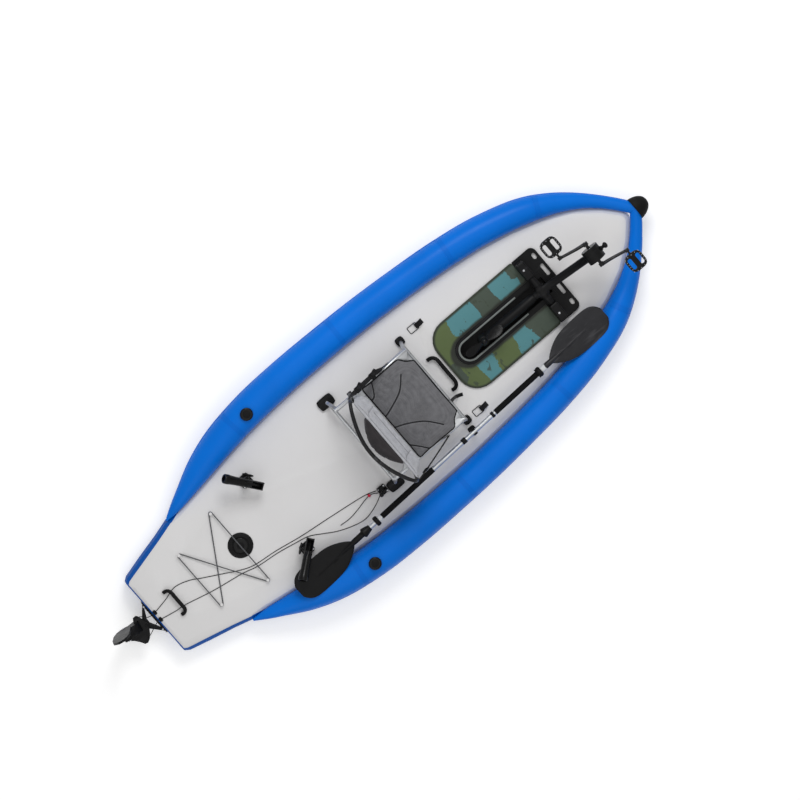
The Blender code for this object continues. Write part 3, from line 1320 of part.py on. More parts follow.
def build_recline_straps():
    """Webbing from the backrest's sides to the front of the seat frame, each with a ladder buckle."""
    for side, name in ((1, "recline_strap_port"), (-1, "recline_strap_starboard")):
        top = back_point(0.215, 0.0, side * 0.2675)
        low = Vector((at(1.715), side * (SIDE_TUBE_Y + SEAT_TUBE_R + STRAP_THICKNESS), SEAT_Z))
        sections = []
        along = (low - top).normalized()
        wide = along.cross(Vector((0.0, 1.0, 0.0))).normalized() * (STRAP_WIDTH / 2)
        thick = Vector((0.0, STRAP_THICKNESS / 2, 0.0))
        for k in range(9):
            share = k / 8
            p = top.lerp(low, share)
            p.y = top.y + (low.y - top.y) * share ** 1.5
            sections.append([p + wide + thick, p - wide + thick, p - wide - thick, p + wide - thick])
        bm = bmesh.new()
        add_loft(bm, sections)
        strap = finish_object(name, bm, DARK_FABRIC)
        bm = bmesh.new()
        spot = top.lerp(low, 0.24)
        spot.y = top.y + (low.y - top.y) * 0.24 ** 1.5 + side * 0.001
        turn = Matrix((along, Vector((0, 1, 0)), along.cross(Vector((0, 1, 0))))).transposed().to_4x4()
        add_box(bm, (0.042, 0.010, 0.030), Matrix.Translation(spot) @ turn, bevel=0.002)
        fuse(strap, bm)
    bm = bmesh.new()
    route = [(at(1.839), -0.118, 0.262), (at(1.850), -0.123, 0.215), (at(1.868), -0.132, 0.160),
             (at(1.885), -0.141, 0.1336), (at(1.905), -0.150, 0.1315)]
    sections = []
    for p, t, across, over in path_frames(smooth_route(route, 12)):
        sections.append([p + across * 0.009 + over * 0.001, p - across * 0.009 + over * 0.001,
                         p - across * 0.009 - over * 0.001, p + across * 0.009 - over * 0.001])
    add_loft(bm, sections)
    finish_object("seat_strap_tail", bm, DARK_FABRIC)


def rudder_point(behind, across, z):
    """World point from the rudder head's own measures, the head being turned at rest."""
    c, s = math.cos(RUDDER_REST_TURN), math.sin(RUDDER_REST_TURN)
    return Vector((at(PINTLE_D) - c * behind - s * across, -s * behind + c * across, z))


def rudder_matrix():
    """Local X runs sternward along the head, local Y to its port side and local Z up."""
    o = rudder_point(0, 0, 0)
    x = rudder_point(1, 0, 0) - o
    y = rudder_point(0, 1, 0) - o
    turn = Matrix((x, y, Vector((0, 0, 1)))).transposed().to_4x4()
    return Matrix.Translation(o) @ turn


def blade_outline():
    """Blade seen from its side: lengthwise from the pin, then chordwise."""
    length, front, rear = BLADE_LENGTH, BLADE_CHORD_FRONT, BLADE_CHORD_REAR
    return [(-0.028, -0.014), (-0.018, -0.034), (0.03, front), (length - 0.07, front),
            (length - 0.02, front * 0.66), (length, -0.006), (length - 0.004, 0.016),
            (length - 0.05, rear * 0.85), (length - 0.12, rear), (0.05, rear * 0.97), (0.0, rear * 0.7), (-0.024, 0.014)]


def blade_pin_offset():
    """Places the pin so that the raised blade ends just at the overall length."""
    c, s = math.cos(BLADE_RAISE), math.sin(BLADE_RAISE)
    reach = max(c * a + s * b for a, b in blade_outline())
    turn_c, turn_s = math.cos(RUDDER_REST_TURN), math.sin(-RUDDER_REST_TURN)
    side = BLADE_SIDE - BLADE_THICKNESS / 2
    return (RUDDER_OVERHANG + PINTLE_D + turn_s * side) / turn_c - reach


def build_transom_bracket():
    """Two-plate V bracket on the flat transom, with the pintle that the rudder turns on."""
    bm = bmesh.new()
    box_at(bm, (at(0) - 0.004 - GAP, 0, 0.065), (0.008, 2 * BRACKET_HALF_WIDTH, 0.060), bevel=0.002)
    bracket = finish_object("transom_bracket", bm, BLACK)
    nose = []
    for k in range(7):
        a = math.radians(125 + 110 * k / 6)
        nose.append((at(PINTLE_D) + BRACKET_NOSE_R * math.cos(a), BRACKET_NOSE_R * math.sin(a)))
    outline = [(at(0) - 0.002, -BRACKET_HALF_WIDTH + 0.004), (at(0) - 0.002, BRACKET_HALF_WIDTH - 0.004)] + nose
    window = [(at(0) - 0.012, -0.070), (at(0) - 0.012, 0.070), (at(PINTLE_D) + 0.020, 0.012),
              (at(PINTLE_D) + 0.020, -0.012)]
    for low, high in (LOW_PLATE_Z, TOP_PLATE_Z):
        bm = bmesh.new()
        add_prism(bm, outline, low, high, Matrix.Identity(4))
        fuse(bracket, bm)
    bm = bmesh.new()
    add_prism(bm, window, 0.036, 0.2, Matrix.Identity(4))
    cut(bracket, bm)
    bm = bmesh.new()
    pin = Matrix.Translation((at(PINTLE_D), 0, 0))
    add_turned(bm, [(0, 0.036), (0.009, 0.037), (0.009, 0.044), (PINTLE_R, 0.044), (PINTLE_R, 0.127),
                    (0, 0.128)],
               pin, 10)
    fuse(bracket, bm)


def build_rudder():
    """Rudder head with its line yoke, and the blade that kicks up on the head's port side."""
    matrix = rudder_matrix()
    axis = rudder_point(0, 0, 0)
    offset = blade_pin_offset()
    cheek = BLADE_SIDE - BLADE_THICKNESS / 2 - GAP
    bm = bmesh.new()
    upright = matrix @ Matrix.Rotation(math.pi / 2, 4, "X")
    web = [(0.0225, 0.054), (0.045, 0.046), (offset + 0.020, 0.110), (offset + 0.026, BLADE_PIN_Z),
           (offset + 0.016, BLADE_PIN_Z + 0.022), (offset - 0.016, BLADE_PIN_Z + 0.022),
           (0.024, 0.132), (0.0225, 0.120)]
    add_prism(bm, web, -cheek, 0.012, upright)
    head = finish_object("rudder_head", bm, BLACK)
    bm = bmesh.new()
    for low, high in ((LOW_PLATE_Z[1] + GAP, TOP_PLATE_Z[0] - GAP), (TOP_PLATE_Z[1] + GAP, YOKE_Z[0] + 0.002)):
        outline = [(0.030, -0.010), (0.030, 0.010)]
        for k in range(7):
            a = math.radians(80 + 200 * k / 6)
            outline.append((0.013 * math.cos(a), 0.013 * math.sin(a)))
        add_prism(bm, outline, low, high, matrix)
    fuse(head, bm)
    bm = bmesh.new()
    yoke = [(-0.012, -0.014), (-0.012, 0.014), (0.010, YOKE_HALF_WIDTH - 0.006), (0.020, YOKE_HALF_WIDTH),
            (0.038, YOKE_HALF_WIDTH - 0.004), (0.050, cheek - 0.003), (offset + 0.010, cheek - 0.003),
            (offset + 0.040, 0.018), (offset + 0.036, -0.010), (offset - 0.022, -0.036),
            (0.050, -YOKE_HALF_WIDTH - 0.008), (0.034, -YOKE_HALF_WIDTH - 0.010),
            (0.010, -YOKE_HALF_WIDTH + 0.006)]
    add_prism(bm, yoke, YOKE_Z[0], YOKE_Z[1], matrix)
    fuse(head, bm)
    bm = bmesh.new()
    add_rod(bm, axis, axis + Vector((0, 0, 0.2)), PINTLE_R + PIN_CLEARANCE, 10)
    for side in (1, -1):
        spot = rudder_point(0.021, side * (YOKE_HALF_WIDTH - 0.009), 0.1)
        add_rod(bm, spot, spot + Vector((0, 0, 0.04)), 0.003, 8)
    cut(head, bm)
    pin = rudder_point(offset, 0, BLADE_PIN_Z)
    across = rudder_point(0, 1, 0) - axis
    bm = bmesh.new()
    add_rod(bm, pin - across * 0.1, pin + across * 0.1, BLADE_PIN_R + PIN_CLEARANCE, 10)
    cut(head, bm)
    head.data.transform(Matrix.Translation(-axis))
    head.location = axis

    c, s = math.cos(BLADE_RAISE), math.sin(BLADE_RAISE)
    raised = [(offset + c * a + s * b, BLADE_PIN_Z + s * a - c * b) for a, b in blade_outline()]
    bm = bmesh.new()
    add_prism(bm, raised, -BLADE_SIDE - BLADE_THICKNESS / 2, -BLADE_SIDE + BLADE_THICKNESS / 2, upright)
    blade = finish_object("rudder_blade", bm, BLADE)
    bm = bmesh.new()
    add_rod(bm, pin - across * 0.1, pin + across * 0.1, BLADE_PIN_R + PIN_CLEARANCE, 10)
    cut(blade, bm)
    blade.data.transform(Matrix.Translation(-pin))
    blade.location = pin

    bm = bmesh.new()
    start = pin - across * 0.020
    reach = 0.020 + BLADE_SIDE + BLADE_THICKNESS / 2
    add_turned(bm, [(0, 0), (0.009, 0.002), (0.009, 0.0075), (BLADE_PIN_R, 0.0075),
                    (BLADE_PIN_R, reach + 0.0004), (0.010, reach + 0.0004), (0.010, reach + 0.004),
                    (0.006, reach + 0.007), (0, reach + 0.007)],
               place(start, across, (0, 0, 1)), 10)
    finish_object("rudder_blade_pin", bm, STEEL, pivot=pin)


def build_steering():
    """Hand lever in its deck box, the two lines back to the transom, and the paddle's leash."""
    d, y = STEERING_BOX
    deck = FLOOR_THICKNESS + GAP
    bm = bmesh.new()
    box_at(bm, (at(d), y, deck + 0.017), (0.048, 0.046, 0.034), bevel=0.005)
    box = finish_object("steering_box", bm, BLACK)
    bm = bmesh.new()
    box_at(bm, (at(d), y, deck + 0.03), (0.07, 0.0126, 0.042))
    cut(box, bm)
    bm = bmesh.new()
    axle = Vector((at(d), y, LEVER_Z))
    across = Vector((0.0, 0.05, 0.0))
    add_rod(bm, axle - across, axle + across, LEVER_PIN_R + PIN_CLEARANCE, 8)
    cut(box, bm)
    bm = bmesh.new()
    add_turned(bm, [(0, -0.006), (0.012, -0.006), (0.012, 0.006), (0, 0.006)], place(axle, across), 12)
    lever = finish_object("steering_lever", bm, BLACK)
    bm = bmesh.new()
    tip = axle + Vector((-0.018, 0.0, 0.088))
    add_rod(bm, axle + Vector((0, 0, 0.004)), tip, 0.005, 8)
    fuse(lever, bm)
    bm = bmesh.new()
    bmesh.ops.create_uvsphere(bm, u_segments=10, v_segments=8, radius=0.013, matrix=Matrix.Translation(tip))
    fuse(lever, bm)
    bm = bmesh.new()
    add_rod(bm, axle - across * 0.44, axle + across * 0.44, LEVER_PIN_R, 8)
    fuse(lever, bm)
    lever.data.transform(Matrix.Translation(-axle))
    lever.location = axle

    z = deck + LINE_RADIUS
    routes = {
        "steering_line_starboard": ((0.012, -0.022), (0.10, -0.040), (0.16, -0.048), (0.31, -0.085),
                                    (0.475, -0.115), (0.56, -0.138), (0.675, -0.152), (0.775, -0.172),
                                    (0.85, -0.190), (0.915, -0.228), (0.975, -0.265), (1.05, -0.296),
                                    (1.125, -0.312), (1.20, -0.295), (1.258, -0.268)),
        "steering_line_port": ((0.012, 0.022), (0.10, 0.038), (0.175, 0.056), (0.25, 0.035), (0.31, 0.0),
                               (0.39, -0.045), (0.475, -0.093), (0.55, -0.122), (0.675, -0.138),
                               (0.825, -0.165), (1.0, -0.188), (1.185, -0.215), (1.258, -0.238)),
        "leash_cord": ((1.258, -0.253), LEASH_BEAD, (1.125, -0.250), (1.068, -0.258), LEASH_END),
    }
    for name, route in routes.items():
        leash = name == "leash_cord"
        points = smooth_route([(at(a), b, z) for a, b in route], 12 if leash else 24)
        if leash:
            for point in points:
                far = (point.x - at(LEASH_BEAD[0])) / 0.040
                point.z += (BEAD_R - LINE_RADIUS) * math.exp(-far * far)
        cord_object(name, [points], LINE_RADIUS, CORD)
    spot = Vector((at(LEASH_BEAD[0]), LEASH_BEAD[1], deck + BEAD_R))
    bore = LINE_RADIUS + 0.0022
    bm = bmesh.new()
    add_turned(bm, [(bore, -0.006), (BEAD_R * 0.7, -0.006), (BEAD_R, -0.002), (BEAD_R, 0.002),
                    (BEAD_R * 0.7, 0.006), (bore, 0.006)], place(spot, (1, -0.02, 0)), 10, closed=True)
    finish_object("leash_bead", bm, RED)


def paddle_y(d):
    share = (PADDLE_BOW_TIP_D - d) / (PADDLE_BOW_TIP_D - PADDLE_STERN_TIP_D)
    return PADDLE_Y_AT_BOW + (PADDLE_Y_AT_STERN - PADDLE_Y_AT_BOW) * share


def paddle_blade_half_width(share):
    """Half width of a blade at a share of its length from the throat to the tip."""
    return PADDLE_BLADE_WIDTH / 2 * min(1.0, math.sin(math.pi / 2 * min(share / 0.55, 1.0)) ** 0.8 + 0.13) \
        * math.sqrt(max(1 - max(share - 0.80, 0.0) ** 2 / 0.0418, 0.0))


def paddle_heights():
    """Height of the paddle's line over both tips, so that each blade rests on the starboard tube."""
    tube = bpy.data.objects["side_tube_starboard"]
    span = PADDLE_BOW_TIP_D - PADDLE_STERN_TIP_D
    bow, stern = 0.3, 0.3
    for _ in range(12):
        rests = []
        for tip, direction, height in ((PADDLE_BOW_TIP_D, -1, bow), (PADDLE_STERN_TIP_D, 1, stern)):
            clear = height - PADDLE_LOWEST_Z
            for k in range(1, 20):
                share = k / 20
                d = tip + direction * PADDLE_BLADE_LENGTH * (1 - share)
                for j in range(9):
                    y = paddle_y(d) - paddle_blade_half_width(share) * (1.0 - j / 8 * 0.5)
                    hit, point, _, _ = tube.ray_cast(Vector((at(d), y, 1.0)), Vector((0, 0, -1)))
                    if hit:
                        line = bow + (stern - bow) * (PADDLE_BOW_TIP_D - d) / span
                        clear = min(clear, line - PADDLE_BLADE_HALF_THICK - point.z - GAP)
            rests.append(clear)
        bow -= rests[0]
        stern -= rests[1]
    return bow, stern


def build_paddle():
    """Two-blade paddle lying along the starboard tube."""
    bpy.context.view_layer.update()
    bow_z, stern_z = paddle_heights()
    bow = Vector((at(PADDLE_BOW_TIP_D), paddle_y(PADDLE_BOW_TIP_D), bow_z))
    stern = Vector((at(PADDLE_STERN_TIP_D), paddle_y(PADDLE_STERN_TIP_D), stern_z))
    along = (bow - stern).normalized()
    length = (bow - stern).length
    line = place(stern, along, (0, 0, 1))
    socket = PADDLE_BLADE_LENGTH + 0.075
    bore = PADDLE_SHAFT_R + GAP
    bm = bmesh.new()
    low, high = PADDLE_BLADE_LENGTH + 0.02, length - PADDLE_BLADE_LENGTH - 0.02
    add_turned(bm, [(0, low), (PADDLE_SHAFT_R, low), (PADDLE_SHAFT_R, high), (0, high)], line, 12)
    finish_object("paddle_shaft", bm, ALUMINIUM)
    for name, start, end, collar in (("paddle_grip_stern", socket + 0.120, socket + 0.470, -1),
                                     ("paddle_grip_bow", length - socket - 0.300, length - socket - 0.015, 1)):
        bm = bmesh.new()
        profile = [(bore, start), (PADDLE_GRIP_R, start), (PADDLE_GRIP_R, end)]
        if collar > 0:
            profile += [(0.027, end), (0.027, end + 0.004), (0.018, end + 0.012), (bore, end + 0.012)]
        else:
            profile += [(bore, end)]
        add_turned(bm, profile, line, 12, closed=True)
        finish_object(name, bm, GRIP)
    side = Vector((0.0, 0.0, 1.0)).cross(along).normalized()
    over = along.cross(side)
    for name, base, heading in (("paddle_blade_stern", stern + along * PADDLE_BLADE_LENGTH, -1),
                                ("paddle_blade_bow", bow - along * PADDLE_BLADE_LENGTH, 1)):
        bm = bmesh.new()
        sections = []
        for share in (0.0, 0.06, 0.16, 0.32, 0.55, 0.80, 0.90, 0.96, 0.99):
            half = paddle_blade_half_width(share)
            center = base + along * (heading * share * PADDLE_BLADE_LENGTH)
            ring = []
            for k in range(12):
                a = 2 * math.pi * k / 12
                ring.append(center + side * (half * math.cos(a))
                            + over * (PADDLE_BLADE_HALF_THICK * math.sin(a)))
            sections.append(ring)
        add_loft(bm, sections)
        blade = finish_object(name, bm, BLADE)
        bm = bmesh.new()
        outer = PADDLE_SOCKET_R
        profile = [(0, -0.075), (outer, -0.075), (outer, -0.010), (0.010, 0.035), (0.0055, 0.11), (0.0048, 0.24),
                   (0, 0.25)]
        if heading < 0:
            profile = [(0, -0.115), (outer, -0.115), (0.027, -0.075), (0.027, -0.070)] + [(outer, -0.062)] \
                + profile[2:]
        add_turned(bm, profile, place(base, along * heading, (0, 0, 1)), 12)
        fuse(blade, bm)
        bm = bmesh.new()
        deep = -0.018
        add_rod(bm, base + along * (heading * deep), base - along * (heading * 0.2), bore, 12)
        cut(blade, bm)

    d = CLIP_D
    axis_point = stern + along * ((at(d) - stern.x) / along.x)
    deck = FLOOR_THICKNESS + GAP
    bm = bmesh.new()
    add_prism(bm, rounded_rectangle(0.040, 0.040, 0.010, 2), deck, deck + 0.005,
              Matrix.Translation((at(d), axis_point.y, 0)))
    clip = finish_object("paddle_clip", bm, BLACK)
    bm = bmesh.new()
    box_at(bm, (at(d), axis_point.y, (deck + axis_point.z) / 2 - 0.004),
           (0.016, 0.014, axis_point.z - deck - 0.012))
    fuse(clip, bm)
    bm = bmesh.new()
    add_rod(bm, axis_point - along * 0.011, axis_point + along * 0.011, PADDLE_SHAFT_R + 0.006, 12)
    fuse(clip, bm)
    bm = bmesh.new()
    bore_radius = PADDLE_SHAFT_R + 0.0006
    add_rod(bm, axis_point - along * 0.05, axis_point + along * 0.05, bore_radius, 12)
    cut(clip, bm)
    bm = bmesh.new()
    box_at(bm, axis_point + Vector((0, 0, 0.05)), (0.05, 2 * bore_radius, 0.1))
    cut(clip, bm)


def build_rod_holder(name, d, y, heading, behind):
    """Deck base, turntable with a fork, and an open-ended rod tube that tilts in the fork."""
    deck = FLOOR_THICKNESS + GAP
    level = Matrix.Translation((at(d), y, 0))
    bm = bmesh.new()
    add_prism(bm, rounded_rectangle(ROD_BASE_SIZE, ROD_BASE_SIZE, 0.012, 2), deck, deck + ROD_BASE_HEIGHT, level,
              bevel=0.003)
    base = finish_object("rod_base_" + name, bm, BLACK)
    bm = bmesh.new()
    add_turned(bm, [(0, deck + 0.006), (0.0125, deck + 0.006), (0.0125, deck + 0.1), (0, deck + 0.1)], level, 12)
    cut(base, bm)

    turn = math.radians(heading)
    ahead = Vector((math.cos(turn), math.sin(turn), 0.0))
    across = Vector((-ahead.y, ahead.x, 0.0))
    rotor_low = deck + ROD_BASE_HEIGHT + GAP
    pivot = Vector((at(d), y, FLOOR_THICKNESS + ROD_PIVOT_Z))
    bm = bmesh.new()
    add_turned(bm, [(0, deck + 0.007), (0.012, deck + 0.007), (0.012, rotor_low), (ROD_ROTOR_R, rotor_low),
                    (ROD_ROTOR_R, rotor_low + 0.006), (0, rotor_low + 0.006)], level, 12)
    rotor = finish_object("rod_rotor_" + name, bm, BLACK)
    bm = bmesh.new()
    turned = level @ Matrix.Rotation(turn, 4, "Z")
    for side in (1, -1):
        add_box(bm, (0.026, 0.006, 0.056), turned @ Matrix.Translation((0, side * 0.0175, pivot.z - 0.016)))
    fuse(rotor, bm)
    bm = bmesh.new()
    add_rod(bm, pivot - across * 0.05, pivot + across * 0.05, ROD_PIN_R + PIN_CLEARANCE, 8)
    cut(rotor, bm)
    axis = Vector((at(d), y, 0.0))
    rotor.data.transform(Matrix.Translation(-axis))
    rotor.location = axis

    along = (ahead * math.cos(ROD_TUBE_RISE) + Vector((0, 0, math.sin(ROD_TUBE_RISE)))).normalized()
    up = across.cross(along)
    if up.z < 0:
        up = -up
    middle = pivot + up * (ROD_TUBE_R + 0.014)
    start = middle - along * (ROD_TUBE_LENGTH * behind)
    line = place(start, along, (0, 0, 1))
    bm = bmesh.new()
    outer, end = ROD_TUBE_R, ROD_TUBE_LENGTH
    add_turned(bm, [(0, 0), (outer, 0), (outer, end - 0.035), (outer + 0.004, end - 0.030),
                    (outer + 0.004, end - 0.004), (outer + 0.001, end), (0, end)], line, 14)
    tube = finish_object("rod_tube_" + name, bm, BLACK)
    bm = bmesh.new()
    add_turned(bm, [(0, 0.008), (ROD_TUBE_BORE, 0.008), (ROD_TUBE_BORE, end + 0.02), (0, end + 0.02)], line, 14)
    cut(tube, bm)
    bm = bmesh.new()
    mouth = Matrix.Translation(start + along * 0.030 + up * outer) @ place((0, 0, 0), along, up).to_3x3().to_4x4()
    add_box(bm, (outer * 1.2, 0.030, 0.075), mouth)
    cut(tube, bm)
    bm = bmesh.new()
    foot = place(pivot, across, along)
    foot_outline = [(-0.012, 0.0), (-0.008, -0.009), (0.008, -0.009), (0.012, 0.0), (0.016, 0.018), (-0.016, 0.018)]
    flip = 1.0 if foot.to_3x3().col[1].dot(up) > 0 else -1.0
    outline = [(a, b * flip) for a, b in foot_outline]
    add_prism(bm, outline, -0.0135, 0.0135, foot)
    fuse(tube, bm)
    bm = bmesh.new()
    add_rod(bm, pivot - across * 0.0225, pivot + across * 0.0225, ROD_PIN_R, 8)
    fuse(tube, bm)
    tube.data.transform(Matrix.Translation(-pivot))
    tube.location = pivot


def build_rod_holders():
    for holder in ROD_HOLDERS:
        build_rod_holder(*holder)


build_hull()
build_tube_valves()
build_floor_valve()
build_bungee()
build_handles()
weld_deck_fittings(bpy.data.objects["hull_floor"])
build_tie_down_rings()
build_well()
build_drive_case()
build_case_cover()
build_crank_set()
build_pedal("pedal_port", 1)
build_pedal("pedal_starboard", -1)
build_drive_leg()
build_drive_shafts()
build_propeller()
build_seat_frame()
build_seat_cushion()
build_seat_back()
build_recline_straps()
build_transom_bracket()
build_rudder()
build_steering()
build_paddle()
build_rod_holders()
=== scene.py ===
"""Looks of the inflatable pedal fishing boat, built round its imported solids.

Metres, +X to the bow, +Y to port, +Z up. at() gives the X of a distance ahead of the transom.
"""
import json
import math

import bmesh
import bpy
import numpy as np
from mathutils import Matrix, Vector
from mathutils.bvhtree import BVHTree


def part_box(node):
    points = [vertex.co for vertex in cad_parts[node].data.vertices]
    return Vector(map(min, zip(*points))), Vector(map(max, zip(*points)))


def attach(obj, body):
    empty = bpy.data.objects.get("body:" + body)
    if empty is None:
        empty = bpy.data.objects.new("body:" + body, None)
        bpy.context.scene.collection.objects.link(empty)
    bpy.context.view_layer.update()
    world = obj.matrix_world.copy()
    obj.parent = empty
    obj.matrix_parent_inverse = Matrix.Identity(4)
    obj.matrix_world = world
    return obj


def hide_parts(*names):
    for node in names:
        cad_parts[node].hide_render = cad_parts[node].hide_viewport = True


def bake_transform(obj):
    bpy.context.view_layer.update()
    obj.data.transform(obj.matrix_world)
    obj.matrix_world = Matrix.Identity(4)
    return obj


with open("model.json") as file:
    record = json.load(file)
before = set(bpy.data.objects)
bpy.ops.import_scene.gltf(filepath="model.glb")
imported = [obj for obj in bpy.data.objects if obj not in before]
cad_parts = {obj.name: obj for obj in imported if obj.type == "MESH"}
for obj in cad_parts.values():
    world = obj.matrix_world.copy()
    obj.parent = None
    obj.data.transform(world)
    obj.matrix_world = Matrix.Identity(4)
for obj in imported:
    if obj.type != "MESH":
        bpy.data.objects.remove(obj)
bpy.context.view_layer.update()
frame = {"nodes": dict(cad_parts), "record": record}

scene = bpy.context.scene
nodes = frame["nodes"]
body_of_node = {n: b for b, group in frame["record"]["behaviour"]["bodies"].items() for n in group}

TRANSOM_X = -1.5075
FLOOR_TOP = 0.13
HULL_LENGTH = 3.24
BACK_HINGE = Vector((-0.0325, 0.0, 0.325))
BACK_RECLINE = math.radians(5)
TUBE_STATIONS = (
    (0.36, 0.335, 0.006), (0.44, 0.359, 0.028), (0.525, 0.387, 0.044), (0.65, 0.428, 0.066),
    (0.775, 0.461, 0.079), (1.025, 0.499, 0.0865), (1.275, 0.511, 0.086), (1.525, 0.510, 0.084),
    (1.775, 0.5025, 0.0825), (2.025, 0.486, 0.081), (2.275, 0.4615, 0.080), (2.525, 0.419, 0.076),
    (2.775, 0.3375, 0.066), (2.90, 0.269, 0.051), (3.025, 0.170, 0.037), (3.125, 0.060, 0.032),
    (3.17, 0.0, 0.031), (3.22, -0.065, 0.030),
)
ROCKER_START_D = 2.80
ROCKER_RISE = 0.05
RAIL_STEP = math.radians(30)
DECK_EDGE_Z = 0.115
TUBES_START_D = 0.38
SIDE_DROP = 0.047
TRANSOM_SKIN_D = 0.008
WELL_HALF_WIDTH = 0.0475
PINTLE_D = -0.062
YOKE_TOP = 0.122


def at(d):
    return TRANSOM_X + d


# Finishes

def linear(*srgb):
    """Linear colour of an sRGB colour given from 0 to 255."""
    return tuple((c / 255 / 12.92) if c < 10.3 else ((c / 255 + 0.055) / 1.055) ** 2.4 for c in srgb)


class Finish:
    """A node material in the making: coordinates, a colour and a chain of bumps."""

    def __init__(self, name, color, rough, metallic=0.0, coat=0.0, sheen=0.0, own_uv=False, shine=0.5):
        self.mat = bpy.data.materials.new(name)
        self.mat.use_nodes = True
        self.mat.diffuse_color = (*color, 1.0)
        self.tree = self.mat.node_tree
        self.shader = self.tree.nodes["Principled BSDF"]
        self.color = color
        self.rough = rough
        self.height = None
        shader = self.shader
        shader.inputs["Base Color"].default_value = (*color, 1.0)
        shader.inputs["Roughness"].default_value = rough
        shader.inputs["Metallic"].default_value = metallic
        shader.inputs["Specular IOR Level"].default_value = shine
        shader.inputs["Coat Weight"].default_value = coat
        shader.inputs["Coat Roughness"].default_value = 0.2
        shader.inputs["Sheen Weight"].default_value = sheen
        shader.inputs["Sheen Roughness"].default_value = 0.5
        where = self.add("ShaderNodeTexCoord")
        self.where = where.outputs["UV" if own_uv else "Object"]

    def add(self, kind, **settings):
        node = self.tree.nodes.new(kind)
        for key, value in settings.items():
            setattr(node, key, value)
        return node

    def link(self, a, b):
        self.tree.links.new(a, b)

    def math(self, operation, a, b=0.0):
        node = self.add("ShaderNodeMath", operation=operation)
        for socket, value in zip(node.inputs, (a, b)):
            if isinstance(value, (int, float)):
                socket.default_value = value
            else:
                self.link(value, socket)
        return node.outputs[0]

    def stretched(self, scale, turn=(0, 0, 0)):
        node = self.add("ShaderNodeMapping")
        node.inputs["Scale"].default_value = scale
        node.inputs["Rotation"].default_value = turn
        self.link(self.where, node.inputs["Vector"])
        return node.outputs[0]

    def noise(self, scale, detail=3.0, where=None, distortion=0.0):
        node = self.add("ShaderNodeTexNoise")
        node.inputs["Scale"].default_value = scale
        node.inputs["Detail"].default_value = detail
        node.inputs["Distortion"].default_value = distortion
        self.link(where or self.where, node.inputs["Vector"])
        return node.outputs["Fac"]

    def cells(self, scale):
        node = self.add("ShaderNodeTexVoronoi")
        node.inputs["Scale"].default_value = scale
        self.link(self.where, node.inputs["Vector"])
        return node.outputs["Distance"]

    def wave(self, scale, direction, distortion=0.0, where=None):
        node = self.add("ShaderNodeTexWave", bands_direction=direction)
        node.inputs["Scale"].default_value = scale
        node.inputs["Distortion"].default_value = distortion
        self.link(where or self.where, node.inputs["Vector"])
        return node.outputs["Fac"]

    def ramp(self, value, stops, constant=False):
        node = self.add("ShaderNodeValToRGB")
        node.color_ramp.interpolation = "CONSTANT" if constant else "LINEAR"
        elements = node.color_ramp.elements
        while len(elements) < len(stops):
            elements.new(0.5)
        for element, (position, color) in zip(elements, stops):
            element.position = position
            element.color = (*color, 1.0)
        self.link(value, node.inputs["Fac"])
        return node.outputs["Color"]

    def mixed(self, share, a, b):
        node = self.add("ShaderNodeMix", data_type="RGBA")
        self.link(share, node.inputs["Factor"])
        for socket, value in ((node.inputs[6], a), (node.inputs[7], b)):
            if isinstance(value, tuple):
                socket.default_value = (*value, 1.0)
            else:
                self.link(value, socket)
        return node.outputs[2]

    def tone(self, spread, scale):
        """Colour that wanders lighter and darker by spread."""
        dark = tuple(c * (1 - spread) for c in self.color)
        light = tuple(min(c * (1 + spread), 1.0) for c in self.color)
        out = self.ramp(self.noise(scale, 4.0), ((0.3, dark), (0.7, light)))
        self.link(out, self.shader.inputs["Base Color"])
        return out

    def paint(self, color):
        self.link(color, self.shader.inputs["Base Color"])

    def gloss(self, spread, scale):
        """Roughness that wanders by spread, as handled and wiped surfaces do."""
        node = self.add("ShaderNodeMapRange")
        node.inputs["To Min"].default_value = max(self.rough - spread, 0.03)
        node.inputs["To Max"].default_value = min(self.rough + spread, 1.0)
        self.link(self.noise(scale, 4.0), node.inputs["Value"])
        self.link(node.outputs[0], self.shader.inputs["Roughness"])

    def bump(self, height, distance, strength=1.0):
        node = self.add("ShaderNodeBump")
        node.inputs["Distance"].default_value = distance
        node.inputs["Strength"].default_value = strength
        self.link(height, node.inputs["Height"])
        if self.height is not None:
            self.link(self.height, node.inputs["Normal"])
        self.height = node.outputs["Normal"]
        self.link(self.height, self.shader.inputs["Normal"])

    def weave(self, pitch, distance, share):
        """Plain weave: crossing threads of the given pitch."""
        across, along, up = (self.wave(math.pi / pitch / 10, axis, 0.4) for axis in "XYZ")
        crossed = self.math("MAXIMUM", self.math("MULTIPLY", across, along), self.math("MULTIPLY", up, 0.6))
        self.bump(crossed, distance, share)
        return crossed

    def scuffs(self, color, amount=0.62, scale=9.0):
        """Fine rubbed streaks of a lighter colour over what is there."""
        source = self.shader.inputs["Base Color"]
        under = source.links[0].from_socket if source.links else self.color
        streaks = self.noise(scale, 8.0, self.stretched((1, 6, 3), (0.3, 0.2, 0.7)))
        patches = self.noise(scale * 0.5, 2.0)
        both = self.math("MULTIPLY", streaks, patches)
        share = self.ramp(both, ((amount * 0.5, (0, 0, 0)), (amount * 0.5 + 0.12, (1, 1, 1))))
        self.paint(self.mixed(share, under, color))


